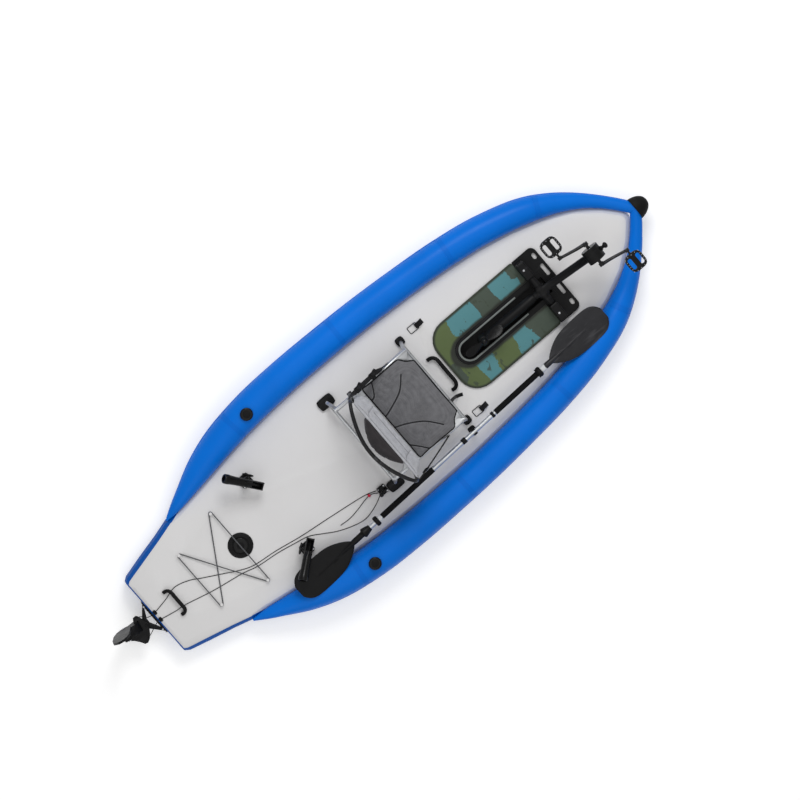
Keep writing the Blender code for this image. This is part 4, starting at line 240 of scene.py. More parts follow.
def coated_cloth(name, color, rough=0.34, tone=0.05, coat=0.25, side=None):
    """Welded boat cloth: a faint thread print under a smooth film, with slow ripples.

    side is the colour of the floor's side and underside, below the deck's edge.
    """
    f = Finish(name, color, rough, coat=coat, shine=0.1)
    top = f.tone(tone, 2.2)
    if side:
        split = f.add("ShaderNodeSeparateXYZ")
        f.link(f.where, split.inputs[0])
        ahead = f.math("MAXIMUM", f.math("SUBTRACT", split.outputs[0], at(ROCKER_START_D)), 0.0)
        lift = f.math("MULTIPLY", f.math("MULTIPLY", ahead, ahead),
                      ROCKER_RISE / (HULL_LENGTH - ROCKER_START_D) ** 2)
        beside = f.math("MULTIPLY", f.math("SUBTRACT", split.outputs[0], at(TUBES_START_D)), 5.0)
        beside = f.math("MINIMUM", f.math("MAXIMUM", beside, 0.0), 1.0)
        edge = f.math("SUBTRACT", DECK_EDGE_Z, f.math("MULTIPLY", beside, SIDE_DROP))
        above = f.math("GREATER_THAN", f.math("SUBTRACT", split.outputs[2], lift), edge)
        ahead = f.math("GREATER_THAN", split.outputs[0], at(TRANSOM_SKIN_D))
        f.paint(f.mixed(f.math("MULTIPLY", above, ahead), side, top))
    f.gloss(0.07, 14)
    f.bump(f.noise(5.0, 2.0), 0.004, 0.35)
    f.bump(f.cells(520.0), 0.00025, 0.35)
    f.weave(0.0011, 0.00012, 0.5)
    return f.mat


def moulded(name, color, rough=0.42, tone=0.25, grain=900.0, coat=0.0, scuff=None):
    """Moulded plastic or rubber with a fine spark grain and handling marks."""
    f = Finish(name, color, rough, coat=coat, shine=0.18)
    f.tone(tone, 24)
    if scuff:
        f.scuffs(scuff)
    f.gloss(0.12, 40)
    f.bump(f.noise(grain, 2.0), 0.0002, 0.5)
    f.bump(f.noise(60, 3.0), 0.0006, 0.25)
    return f.mat


def metal(name, color, rough=0.28, brushed=(1, 1, 1), tone=0.08, metallic=1.0, coat=0.0, scuff=None):
    f = Finish(name, color, rough, metallic=metallic, coat=coat, shine=0.5 if metallic else 0.25)
    f.tone(tone, 30)
    if scuff:
        f.scuffs(scuff, 0.66, 20)
    f.gloss(0.1, 60)
    f.bump(f.noise(400, 4.0, f.stretched(brushed)), 0.00012, 0.5)
    return f.mat


def cloth(name, color, pitch=0.0016, rough=0.92, tone=0.16, sheen=0.35, own_uv=False):
    f = Finish(name, color, rough, sheen=sheen, own_uv=own_uv, shine=0.2)
    threads = f.weave(pitch, 0.0004, 0.8)
    dark = tuple(c * (1 - tone * 1.6) for c in color)
    light = tuple(min(c * (1 + tone * 1.4), 1.0) for c in color)
    slub = f.noise(1 / pitch / 14, 5.0)
    both = f.math("ADD", f.math("MULTIPLY", threads, 0.35), f.math("MULTIPLY", slub, 0.75))
    f.paint(f.ramp(both, ((0.25, dark), (0.75, light))))
    f.bump(f.noise(26, 4.0), 0.003, 0.35)
    return f.mat


def braid(name, color, turns=18.0, fleck=None):
    """Braided sheath on a cord's own UV: U runs round and V along, both in cord diameters."""
    f = Finish(name, color, 0.8, sheen=0.05, own_uv=True, shine=0.2)
    one = f.wave(turns / 10, "DIAGONAL")
    other = f.wave(turns / 10, "DIAGONAL", where=f.stretched((-1, 1, 1)))
    crossed = f.math("MAXIMUM", one, other)
    dark = tuple(c * 0.45 for c in color)
    f.paint(f.ramp(crossed, ((0.3, dark), (0.8, fleck or color))))
    f.bump(crossed, 0.0004, 0.9)
    return f.mat


def camouflage_pad():
    """Soft pad in broad cross bands of olive, teal and grey green, darker round its slot, with painted shade
    along its rear and side edges.
    """
    olive, teal, murk = linear(82, 97, 55), linear(76, 130, 136), linear(62, 73, 62)
    low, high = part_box("drive_plate")
    slot_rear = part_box("well_liner")[0].x + 0.0275
    f = Finish("camouflage_pad", murk, 0.72, sheen=0.1)
    split = f.add("ShaderNodeSeparateXYZ")
    f.link(f.where, split.inputs[0])
    x, y = split.outputs[0], split.outputs[1]
    ragged = f.math("SUBTRACT", f.noise(14, 5.0, f.stretched((1.0, 0.5, 1.0)), 0.5), 0.5)
    fine = f.math("SUBTRACT", f.noise(70, 3.0), 0.5)
    wander = f.math("ADD", f.math("MULTIPLY", ragged, 0.13), f.math("MULTIPLY", fine, 0.02))
    run = f.math("DIVIDE", f.math("ADD", f.math("SUBTRACT", x, low.x), wander), high.x - low.x)
    port = f.ramp(run, ((0.0, olive), (0.23, teal), (0.52, murk), (0.71, teal), (0.93, murk)), True)
    starboard = f.ramp(run, ((0.0, murk), (0.05, olive), (0.19, teal), (0.36, olive), (0.56, teal),
                             (0.76, murk)), True)
    side = f.math("GREATER_THAN", f.math("ADD", y, f.math("MULTIPLY", fine, 0.02)), 0.0)
    bands = f.mixed(side, starboard, port)
    blots = f.ramp(f.noise(20, 4.0, f.stretched((1.4, 0.8, 1.0), (0, 0, 0.4)), 0.8),
                   ((0.62, (0, 0, 0)), (0.67, (0.8, 0.8, 0.8))))
    bands = f.mixed(blots, bands, linear(52, 62, 48))

    def reach(a, b):
        return f.math("SQRT", f.math("ADD", f.math("MULTIPLY", a, a), f.math("MULTIPLY", b, b)))

    across = f.math("ABSOLUTE", y)
    # Painted shade: a dark band along the pad's rear and side edges.
    rim = reach(f.math("MAXIMUM", f.math("SUBTRACT", low.x + 0.11, x), 0.0),
                f.math("MAXIMUM", f.math("SUBTRACT", across, high.y - 0.11), 0.0))
    rim = f.ramp(rim, ((0.094, (0, 0, 0)), (0.102, (1, 1, 1))))
    behind = f.math("MAXIMUM", f.math("SUBTRACT", slot_rear + WELL_HALF_WIDTH, x), 0.0)
    slot = reach(f.math("MULTIPLY", behind, 0.86), across)
    slot = f.ramp(f.math("ADD", slot, f.math("MULTIPLY", ragged, 0.012)),
                  ((0.083, (1, 1, 1)), (0.093, (0, 0, 0))))
    # The band of painted shade along the rear and side edges.
    bands = f.mixed(rim, bands, linear(38, 46, 30))
    f.paint(f.mixed(slot, bands, linear(34, 38, 30)))
    f.gloss(0.08, 30)
    f.bump(f.cells(330.0), 0.0006, 0.5)
    f.bump(f.noise(90, 3.0), 0.0006, 0.3)
    return f.mat


M = {
    "tube": coated_cloth("blue_boat_cloth", linear(0, 109, 212), 0.36, 0.07, 0.03),
    "tube_band": coated_cloth("blue_weld_band", linear(0, 104, 205), 0.4, 0.07, 0.02),
    "deck": coated_cloth("pale_deck_cloth", linear(219, 218, 218), 0.5, 0.02, 0.1, linear(0, 80, 165)),
    "black": moulded("black_moulding", linear(11, 11, 12), 0.46, scuff=linear(32, 32, 34)),
    "black_gloss": moulded("black_gloss_moulding", linear(9, 9, 10), 0.28, coat=0.08),
    "rubber": moulded("black_rubber", linear(12, 12, 13), 0.62, grain=500.0),
    "blade": moulded("dark_paddle_blade", linear(36, 36, 39), 0.38, 0.14, coat=0.1, scuff=linear(60, 60, 63)),
    # Painted shade: a darker copy of the paddle blade finish for the stern blade, which is the same blade in
    # shade.
    "shaded_blade": moulded("painted_shade_blade", linear(9, 9, 10), 0.42, 0.14, scuff=linear(24, 24, 26)),
    "socket": moulded("pale_ferrule", linear(206, 208, 210), 0.4, 0.05),
    "foam": moulded("foam_grip", linear(12, 12, 13), 0.9, 0.3, 260.0),
    "powder": metal("powder_coated_tube", linear(17, 17, 19), 0.38, tone=0.2, metallic=0.0, coat=0.06,
                    scuff=linear(54, 54, 57)),
    "alloy": metal("silver_alloy", linear(208, 211, 214), 0.3, (0.15, 1, 1)),
    "frame": metal("silver_frame_tube", linear(200, 202, 204), 0.42, (1, 0.3, 1), scuff=linear(150, 151, 153)),
    "steel": metal("stainless_steel", linear(200, 201, 204), 0.2, (1, 1, 0.2)),
    "seat": cloth("grey_seat_cloth", linear(104, 104, 107), 0.0018),
    "back": cloth("light_grey_back_cloth", linear(172, 173, 178), 0.0018),
    "dark_cloth": cloth("dark_mesh_cloth", linear(50, 47, 49), 0.0024, sheen=0.1),
    "webbing": cloth("black_webbing", linear(22, 21, 23), 0.0014, sheen=0.08, own_uv=True),
    "piping": cloth("dark_piping", linear(38, 38, 40), 0.0012, sheen=0.1),
    "edge_piping": cloth("black_edge_piping", linear(20, 20, 22), 0.0012, sheen=0.05),
    "back_piping": cloth("grey_piping", linear(128, 129, 133), 0.0012, sheen=0.1),
    "thread": cloth("grey_thread", linear(150, 150, 152), 0.0005, tone=0.05),
    "cord": braid("dark_braid", linear(22, 22, 24)),
    "bungee": braid("shock_cord", linear(58, 59, 62), 14.0, linear(104, 105, 108)),
    "bead": moulded("red_bead", linear(206, 18, 58), 0.25, 0.08, coat=0.5),
    "dark_steel": metal("blackened_steel", linear(36, 36, 38), 0.36, (1, 1, 0.2), scuff=linear(120, 120, 122)),
    "trim": moulded("grey_rubber_trim", linear(122, 127, 124), 0.5, 0.1, 400.0),
    "camo": camouflage_pad(),
}


# Building helpers

def keep_mesh(name, bm, mat, smooth=True):
    """An object at the origin from bm, with closed shells facing out."""
    bmesh.ops.recalc_face_normals(bm, faces=bm.faces)
    mesh = bpy.data.meshes.new(name)
    bm.to_mesh(mesh)
    bm.free()
    mesh.materials.append(mat)
    mesh.polygons.foreach_set("use_smooth", [smooth] * len(mesh.polygons))
    obj = bpy.data.objects.new(name, mesh)
    scene.collection.objects.link(obj)
    return obj


def settle(obj):
    """Turns an object's modifiers into its own mesh."""
    graph = bpy.context.evaluated_depsgraph_get()
    graph.update()
    mesh = bpy.data.meshes.new_from_object(obj.evaluated_get(graph))
    obj.modifiers.clear()
    obj.data = mesh
    return obj


def crease(obj, degrees):
    """Smooth shading that breaks at edges sharper than degrees."""
    mesh = obj.data
    mesh.polygons.foreach_set("use_smooth", [True] * len(mesh.polygons))
    mesh.set_sharp_from_angle(angle=math.radians(degrees))
    return obj


def finish_piece(obj, body, replaced=()):
    """Rides a piece on a body and the CAD nodes that it stands for."""
    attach(obj, body)
    if replaced:
        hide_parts(*replaced)
    return obj


def round_angles(count):
    return [2 * math.pi * k / count for k in range(count)]


def basis(direction, hint=(0, 0, 1)):
    """Matrix whose Z looks along direction."""
    z = Vector(direction).normalized()
    hint = Vector(hint)
    if abs(z.dot(hint.normalized())) > 0.95:
        hint = Vector((1, 0, 0))
    x = hint.cross(z).normalized()
    return Matrix((x, z.cross(x), z)).transposed().to_4x4()


def spline(route, count):
    """Points along a smooth curve through a route."""
    pts = [Vector(p) for p in route]
    spans = len(pts) - 1
    out = []
    for i in range(count + 1):
        u = spans * i / count
        k = min(int(u), spans - 1)
        t = u - k
        p0, p1, p2, p3 = pts[max(k - 1, 0)], pts[k], pts[k + 1], pts[min(k + 2, spans)]
        out.append(0.5 * (2 * p1 + (p2 - p0) * t + (2 * p0 - 5 * p1 + 4 * p2 - p3) * t * t
                          + (3 * p1 - p0 - 3 * p2 + p3) * t ** 3))
    return out


def sweep(bm, points, radius, sides=10, flat=1.0, hint=(0, 0, 1), closed=False):
    """A round or flattened tube along points, with UVs counted in tube diameters."""
    uv = bm.loops.layers.uv.verify()
    count = len(points)
    rings, lengths, run = [], [], 0.0
    for i, p in enumerate(points):
        before = points[i - 1] if i or closed else p
        after = points[(i + 1) % count] if i < count - 1 or closed else p
        turn = basis(after - before, hint(i / (count - 1)) if callable(hint) else hint).to_3x3()
        size = radius(i / (count - 1)) if callable(radius) else radius
        rings.append([bm.verts.new(p + turn @ Vector((math.cos(a) * size, math.sin(a) * size * flat, 0)))
                      for a in round_angles(sides)])
        if i:
            run += (p - points[i - 1]).length
        lengths.append(run / (2 * (radius(0.5) if callable(radius) else radius)))
    spans = count if closed else count - 1
    for i in range(spans):
        j = (i + 1) % count
        v0, v1 = lengths[i], lengths[j] if j else lengths[i] + 1.0
        for k in range(sides):
            n = (k + 1) % sides
            face = bm.faces.new((rings[i][k], rings[i][n], rings[j][n], rings[j][k]))
            for loop, (u, v) in zip(face.loops, ((k, v0), (k + 1, v0), (k + 1, v1), (k, v1))):
                loop[uv].uv = (u / sides, v)
    if not closed:
        bm.faces.new(rings[0])
        bm.faces.new(rings[-1])


def turned(bm, profile, place_at, sides=32):
    """A turned shape; the profile's (radius, height) runs from axis to axis."""
    rings = []
    for radius, height in profile:
        if radius < 1e-7:
            rings.append([bm.verts.new(place_at @ Vector((0, 0, height)))])
            continue
        rings.append([bm.verts.new(place_at @ Vector((radius * math.cos(a), radius * math.sin(a), height)))
                      for a in round_angles(sides)])
    for low, high in zip(rings, rings[1:]):
        for k in range(sides):
            n = (k + 1) % sides
            corners = [low[k % len(low)], low[n % len(low)], high[n % len(high)], high[k % len(high)]]
            bm.faces.new(list(dict.fromkeys(corners)))


def strip(bm, left, right, lift, thick=0.0):
    """A thin band between two lines of points; lift gives the outward side of each pair."""
    uv = bm.loops.layers.uv.verify()
    rows = []
    run = 0.0
    runs = []
    for i, (a, b, up) in enumerate(zip(left, right, lift)):
        rows.append([bm.verts.new(a + up * thick), bm.verts.new(a.lerp(b, 0.5) + up * thick * 1.15),
                     bm.verts.new(b + up * thick), bm.verts.new(b), bm.verts.new(a)])
        if i:
            run += (a - left[i - 1]).length
        runs.append(run)
    for i in range(len(rows) - 1):
        for k in range(5):
            n = (k + 1) % 5
            face = bm.faces.new((rows[i][k], rows[i][n], rows[i + 1][n], rows[i + 1][k]))
            width = (left[i] - right[i]).length
            corners = ((k, runs[i]), (k + 1, runs[i]), (k + 1, runs[i + 1]), (k, runs[i + 1]))
            for loop, (u, v) in zip(face.loops, corners):
                loop[uv].uv = (u * width / 2, v)
    bm.faces.new(rows[0])
    bm.faces.new(rows[-1])


def softened(node, name, mat, width, segments, degrees=28):
    """A rounded-edge copy of a CAD node that stands for it."""
    bm = bmesh.new()
    bm.from_mesh(nodes[node].data)
    bmesh.ops.remove_doubles(bm, verts=bm.verts, dist=0.00002)
    bmesh.ops.dissolve_limit(bm, angle_limit=math.radians(1.0), verts=bm.verts, edges=bm.edges)
    obj = keep_mesh(name, bm, mat)
    bevel = obj.modifiers.new("bevel", "BEVEL")
    bevel.width = width
    bevel.segments = segments
    bevel.limit_method = "ANGLE"
    bevel.angle_limit = math.radians(degrees)
    bevel.use_clamp_overlap = True
    bevel.harden_normals = False
    bevel.miter_outer = "MITER_ARC"
    settle(obj)
    crease(obj, degrees)
    return finish_piece(obj, body_of_node[node], (node,))


def rounded(node, mat, levels, degrees=38):
    """A finer copy of a CAD node, its curves subdivided and its sharp edges kept."""
    bm = bmesh.new()
    bm.from_mesh(nodes[node].data)
    bmesh.ops.remove_doubles(bm, verts=bm.verts, dist=0.00002)
    hard = bm.edges.layers.float.get("crease_edge") or bm.edges.layers.float.new("crease_edge")
    for edge in bm.edges:
        edge[hard] = 1.0 if edge.calc_face_angle(math.pi) > math.radians(degrees) else 0.0
    obj = keep_mesh("fine_" + node, bm, mat)
    level = obj.modifiers.new("refine", "SUBSURF")
    level.levels = level.render_levels = levels
    settle(obj)
    crease(obj, degrees)
    return finish_piece(obj, body_of_node[node], (node,))


def dress(node, mat):
    """Gives a CAD node its own finish."""
    obj = nodes[node]
    obj.data.materials.clear()
    obj.data.materials.append(mat)


def stud_tree():
    """Small solids on every point of a mesh, turned to the point's own direction."""
    tree = bpy.data.node_groups.new("studs", "GeometryNodeTree")
    sockets = tree.interface
    sockets.new_socket("Geometry", in_out="INPUT", socket_type="NodeSocketGeometry")
    for name, value in (("Radius", 0.003), ("Height", 0.002), ("Round", 0.0)):
        sockets.new_socket(name, in_out="INPUT", socket_type="NodeSocketFloat").default_value = value
    sockets.new_socket("Sides", in_out="INPUT", socket_type="NodeSocketInt").default_value = 12
    sockets.new_socket("Material", in_out="INPUT", socket_type="NodeSocketMaterial")
    sockets.new_socket("Geometry", in_out="OUTPUT", socket_type="NodeSocketGeometry")
    made, link = tree.nodes.new, tree.links.new
    given, result = made("NodeGroupInput"), made("NodeGroupOutput")
    rod, ball = made("GeometryNodeMeshCylinder"), made("GeometryNodeMeshUVSphere")
    link(given.outputs["Sides"], rod.inputs["Vertices"])
    link(given.outputs["Radius"], rod.inputs["Radius"])
    link(given.outputs["Height"], rod.inputs["Depth"])
    ball.inputs["Segments"].default_value = 10
    ball.inputs["Rings"].default_value = 6
    ball.inputs["Radius"].default_value = 1.0
    shape = made("ShaderNodeCombineXYZ")
    link(given.outputs["Radius"], shape.inputs[0])
    link(given.outputs["Radius"], shape.inputs[1])
    link(given.outputs["Height"], shape.inputs[2])
    squashed = made("GeometryNodeTransform")
    link(ball.outputs["Mesh"], squashed.inputs["Geometry"])
    link(shape.outputs[0], squashed.inputs["Scale"])
    choose = made("GeometryNodeSwitch")
    choose.input_type = "GEOMETRY"
    rounder = made("FunctionNodeCompare")
    rounder.operation = "GREATER_THAN"
    link(given.outputs["Round"], rounder.inputs[0])
    rounder.inputs[1].default_value = 0.5
    link(rounder.outputs[0], choose.inputs["Switch"])
    link(rod.outputs["Mesh"], choose.inputs["False"])
    link(squashed.outputs["Geometry"], choose.inputs["True"])
    facing = made("GeometryNodeInputNamedAttribute")
    facing.data_type = "FLOAT_VECTOR"
    facing.inputs["Name"].default_value = "facing"
    aim = made("FunctionNodeAlignRotationToVector")
    aim.axis = "Z"
    link(facing.outputs["Attribute"], aim.inputs["Vector"])
    spread = made("GeometryNodeInstanceOnPoints")
    link(given.outputs["Geometry"], spread.inputs["Points"])
    link(choose.outputs["Output"], spread.inputs["Instance"])
    link(aim.outputs["Rotation"], spread.inputs["Rotation"])
    real, coat = made("GeometryNodeRealizeInstances"), made("GeometryNodeSetMaterial")
    link(spread.outputs["Instances"], real.inputs["Geometry"])
    link(real.outputs["Geometry"], coat.inputs["Geometry"])
    link(given.outputs["Material"], coat.inputs["Material"])
    link(coat.outputs["Geometry"], result.inputs["Geometry"])
    return tree


STUDS = stud_tree()


def studs(name, places, mat, body, radius, height, sides=12, domed=False):
    """A row of small parts, such as screws, stitches or cleats, at (point, direction) places."""
    mesh = bpy.data.meshes.new(name)
    mesh.from_pydata([tuple(p) for p, _ in places], [], [])
    facing = mesh.attributes.new("facing", "FLOAT_VECTOR", "POINT")
    facing.data.foreach_set("vector", [c for _, d in places for c in Vector(d).normalized()])
    obj = bpy.data.objects.new(name, mesh)
    scene.collection.objects.link(obj)
    modifier = obj.modifiers.new("studs", "NODES")
    modifier.node_group = STUDS
    values = {"Radius": radius, "Height": height, "Round": 1.0 if domed else 0.0, "Sides": sides,
              "Material": mat}
    for item in STUDS.interface.items_tree:
        if item.in_out == "INPUT" and item.name in values:
            modifier[item.identifier] = values[item.name]
    settle(obj)
    if not obj.data.materials:
        obj.data.materials.append(mat)
    crease(obj, 40)
    return finish_piece(obj, body)


def surface_of(*objs):
    """A ray target from the final meshes of some objects."""
    verts, faces = [], []
    for obj in objs:
        first = len(verts)
        verts += [v.co.copy() for v in obj.data.vertices]
        faces += [[first + i for i in p.vertices] for p in obj.data.polygons]
    return BVHTree.FromPolygons(verts, faces)


def laid(tree, points, direction, lift):
    """Points pushed along direction onto a surface and lifted off it; a point that misses is dropped."""
    direction = Vector(direction).normalized()
    out = []
    for p in points:
        hit, normal, _, _ = tree.ray_cast(Vector(p) - direction * 0.3, direction)
        if hit is not None:
            normal = normal if normal.dot(direction) < 0 else -normal
            out.append((hit + normal * lift, normal))
    return out


MISSED_GAP = 0.05


def stitched(name, tree, points, direction, body, mat, pitch=0.006):
    """Stitches along a line on a surface."""
    on = laid(tree, points, direction, 0.0002)
    places, rest = [], 0.0
    for (a, _), (b, _) in zip(on, on[1:]):
        length = (b - a).length
        if length > MISSED_GAP:
            continue
        while rest < length:
            places.append((a.lerp(b, rest / length), b - a))
            rest += pitch
        rest -= length
    return studs(name, places, mat, body, 0.0006, pitch * 0.34, domed=True)


# Hull

def smooth_column(column):
    """Smooth curve through one column of the tube's stations."""
    xs = np.array([s[0] for s in TUBE_STATIONS])
    ys = np.array([s[column] for s in TUBE_STATIONS])
    slopes = np.gradient(ys, xs)

    def value(x):
        i = int(np.clip(np.searchsorted(xs, x) - 1, 0, len(xs) - 2))
        h = xs[i + 1] - xs[i]
        t = (x - xs[i]) / h
        a = (1 + 2 * t) * (1 - t) ** 2 * ys[i] + t * (1 - t) ** 2 * h * slopes[i]
        return float(a + t * t * (3 - 2 * t) * ys[i + 1] + t * t * (t - 1) * h * slopes[i + 1])

    return value


tube_center = smooth_column(1)
tube_radius = smooth_column(2)


def rise(d):
    """Height that the rocker adds at d."""
    return ROCKER_RISE * (max(d - ROCKER_START_D, 0.0) / (HULL_LENGTH - ROCKER_START_D)) ** 2


def tube_frame(d, side):
    """Centre, outward direction and radius of a side tube at d."""
    step = 0.002
    run = Vector((2 * step, tube_center(d + step) - tube_center(d - step), 0.0)).normalized()
    radius = tube_radius(d)
    z = FLOOR_TOP / 2 + rise(d) + (radius + FLOOR_TOP / 2 + 0.0003) * math.sin(RAIL_STEP)
    outward = Vector((-run.y, run.x * side, 0.0))
    return Vector((at(d), tube_center(d) * side, z)), outward, radius


def tube_point(d, side, angle, out=0.0):
    """Point on the tube's skin; angle 0 faces outboard and a quarter turn faces up."""
    center, outward, radius = tube_frame(d, side)
    up = Vector((0, 0, 1))
    here = outward * math.cos(angle) + up * math.sin(angle)
    return center + here * (radius + out), here


TUBE_LAPS = (0.93, 1.62, 2.30, 2.79)


def tube_skin(side_name, side):
    """Inflated tube with gathers on its inner bend and a slight waist at each lap."""
    bm = bmesh.new()
    uv = bm.loops.layers.uv.verify()
    first, last, count, sides = 0.362, 3.2, 230, 48
    rings = []
    for i in range(count + 1):
        d = first + (last - first) * (1 - math.cos(math.pi * i / count)) / 2
        turn = (tube_center(d + 0.05) - 2 * tube_center(d) + tube_center(d - 0.05)) / 0.0025
        gather = min(abs(turn) * 0.45, 1.0) * tube_radius(d) / 0.08
        waist = sum(math.exp(-((d - lap) / 0.016) ** 2) for lap in TUBE_LAPS)
        ring = []
        for k in range(sides):
            a = 2 * math.pi * k / sides
            inner = max(-math.cos(a), 0.0) ** 2
            phase = 2 * math.pi * d / 0.031 + 1.7 * math.sin(d * 37)
            dent = 0.0011 * gather * inner * (0.5 + 0.5 * math.sin(phase)) + 0.0012 * waist
            dent += 0.0006 * (1 + math.sin(d * 9 + 2 * math.sin(a)))
            ring.append(bm.verts.new(tube_point(d, side, a, -dent)[0]))
        rings.append(ring)
    for i in range(count):
        for k in range(sides):
            n = (k + 1) % sides
            bm.faces.new((rings[i][k], rings[i][n], rings[i + 1][n], rings[i + 1][k]))
    bm.faces.new(rings[0])
    bm.faces.new(rings[-1])
    for co, no in (((0, 0, 0), (0, -side, 0)), ((at(3.165), 0, 0), (1, 0, 0))):
        everything = bm.verts[:] + bm.edges[:] + bm.faces[:]
        cut = bmesh.ops.bisect_plane(bm, geom=everything, plane_co=co, plane_no=no, clear_outer=True)
        edges = [e for e in cut["geom_cut"] if isinstance(e, bmesh.types.BMEdge)]
        bmesh.ops.holes_fill(bm, edges=edges)
    obj = crease(keep_mesh("tube_skin_" + side_name, bm, M["tube"]), 50)
    return finish_piece(obj, "hull", ("side_tube_" + side_name,))


def tube_bands(side_name, side):
    """Welded lap bands round the tube and one along its outboard side."""
    bm = bmesh.new()
    for lap in TUBE_LAPS:
        left, right, lift = [], [], []
        for k in range(49):
            a = math.radians(-118 + 262 * k / 48)
            here, normal = tube_point(lap - 0.0125, side, a, -0.0010)
            there, _ = tube_point(lap + 0.0125, side, a, -0.0010)
            left.append(here)
            right.append(there)
            lift.append(normal)
        strip(bm, left, right, lift, 0.0013)
    left, right, lift = [], [], []
    for i in range(141):
        d = 0.52 + 2.56 * i / 140
        half = 0.0135 / tube_radius(d)
        middle = math.radians(-3)
        a, normal = tube_point(d, side, middle - half, -0.0009)
        b, _ = tube_point(d, side, middle + half, -0.0009)
        left.append(a)
        right.append(b)
        lift.append(normal)
    strip(bm, left, right, lift, 0.0019)
    obj = crease(keep_mesh("tube_weld_bands_" + side_name, bm, M["tube_band"]), 40)
    finish_piece(obj, "hull")


for side_name, side in (("port", 1), ("starboard", -1)):
    tube_skin(side_name, side)
    tube_bands(side_name, side)
softened("hull_floor", "drop_stitch_floor", M["deck"], 0.003, 3, 24)


# Padded seat

def eased(share):
    """From -1 to 1, with rows that crowd towards both ends."""
    return math.sin(math.pi * (share - 0.5))


def slab(rows, columns, point):
    """Closed slab with even sides; point(u, v, face) gives both faces for u and v from -1 to 1."""
    bm = bmesh.new()
    layers = []
    for face in (1, -1):
        layers.append([[bm.verts.new(point(eased(i / rows), eased(j / columns), face))
                        for j in range(columns + 1)] for i in range(rows + 1)])
    top, low = layers
    for grid in layers:
        for i in range(rows):
            for j in range(columns):
                bm.faces.new((grid[i][j], grid[i + 1][j], grid[i + 1][j + 1], grid[i][j + 1]))
    for i in range(rows):
        for j in (0, columns):
            bm.faces.new((top[i][j], top[i + 1][j], low[i + 1][j], low[i][j]))
    for j in range(columns):
        for i in (0, rows):
            bm.faces.new((top[i][j], top[i][j + 1], low[i][j + 1], low[i][j]))
    return bm


def places_of(mesh):
    co = np.zeros(len(mesh.vertices) * 3)
    mesh.vertices.foreach_get("co", co)
    return co.reshape(-1, 3)


def swell(obj, voxel, limit, pressure=4.0):
    """Lets a cover swell as if filled with air, no point of it by more than limit."""
    remesh = obj.modifiers.new("remesh", "REMESH")
    remesh.mode = "VOXEL"
    remesh.voxel_size = voxel
    settle(obj)
    rest = places_of(obj.data)
    cover = obj.modifiers.new("cover", "CLOTH")
    cover.settings.quality = 4
    cover.settings.use_pressure = True
    cover.settings.uniform_pressure_force = pressure
    cover.settings.effector_weights.gravity = 0.0
    cover.point_cache.frame_start = 1
    cover.point_cache.frame_end = 20
    for step in range(1, 21):
        scene.frame_set(step)
    graph = bpy.context.evaluated_depsgraph_get()
    swollen = places_of(obj.evaluated_get(graph).data)
    obj.modifiers.clear()
    move = swollen - rest
    size = np.linalg.norm(move, axis=1, keepdims=True)
    move *= np.minimum(1.0, limit / np.maximum(size, 1e-9))
    obj.data.vertices.foreach_set("co", (rest + move).ravel())
    obj.data.update()
    scene.frame_set(1)
    return obj


def press_seams(obj, lines, into, depth, width):
    """Draws the skin in along seam lines; into is the direction that the thread pulls."""
    co = places_of(obj.data)
    into = np.array(Vector(into).normalized())
    normals = np.zeros(len(obj.data.vertices) * 3)
    obj.data.vertices.foreach_get("normal", normals)
    facing = np.clip(-(normals.reshape(-1, 3) @ into), 0.0, 1.0)
    near = np.full(len(co), 1e9)
    flat = co - np.outer(co @ into, into)
    for line in lines:
        pts = np.array([tuple(p) for p in line])
        pts = pts - np.outer(pts @ into, into)
        for a, b in zip(pts, pts[1:]):
            ab = b - a
            t = np.clip(((flat - a) @ ab) / max(ab @ ab, 1e-12), 0, 1)
            near = np.minimum(near, np.linalg.norm(flat - a - t[:, None] * ab, axis=1))
    pull = depth * np.exp(-(near / width) ** 2) * facing
    co += pull[:, None] * into
    obj.data.vertices.foreach_set("co", co.ravel())
    obj.data.update()


def relax(obj, steps=14):
    smooth = obj.modifiers.new("relax", "SMOOTH")
    smooth.factor = 0.5
    smooth.iterations = steps
    return settle(obj)


def refine(obj):
    level = obj.modifiers.new("refine", "SUBSURF")
    level.levels = level.render_levels = 1
    settle(obj)
    return crease(obj, 80)


def piping(name, runs, radius, mat, body, closed=False, flat=1.0):
    bm = bmesh.new()
    for run in runs:
        if len(run) > 2:
            sweep(bm, run, radius, 8, flat, closed=closed)
    obj = crease(keep_mesh(name, bm, mat), 60)
    return finish_piece(obj, body)


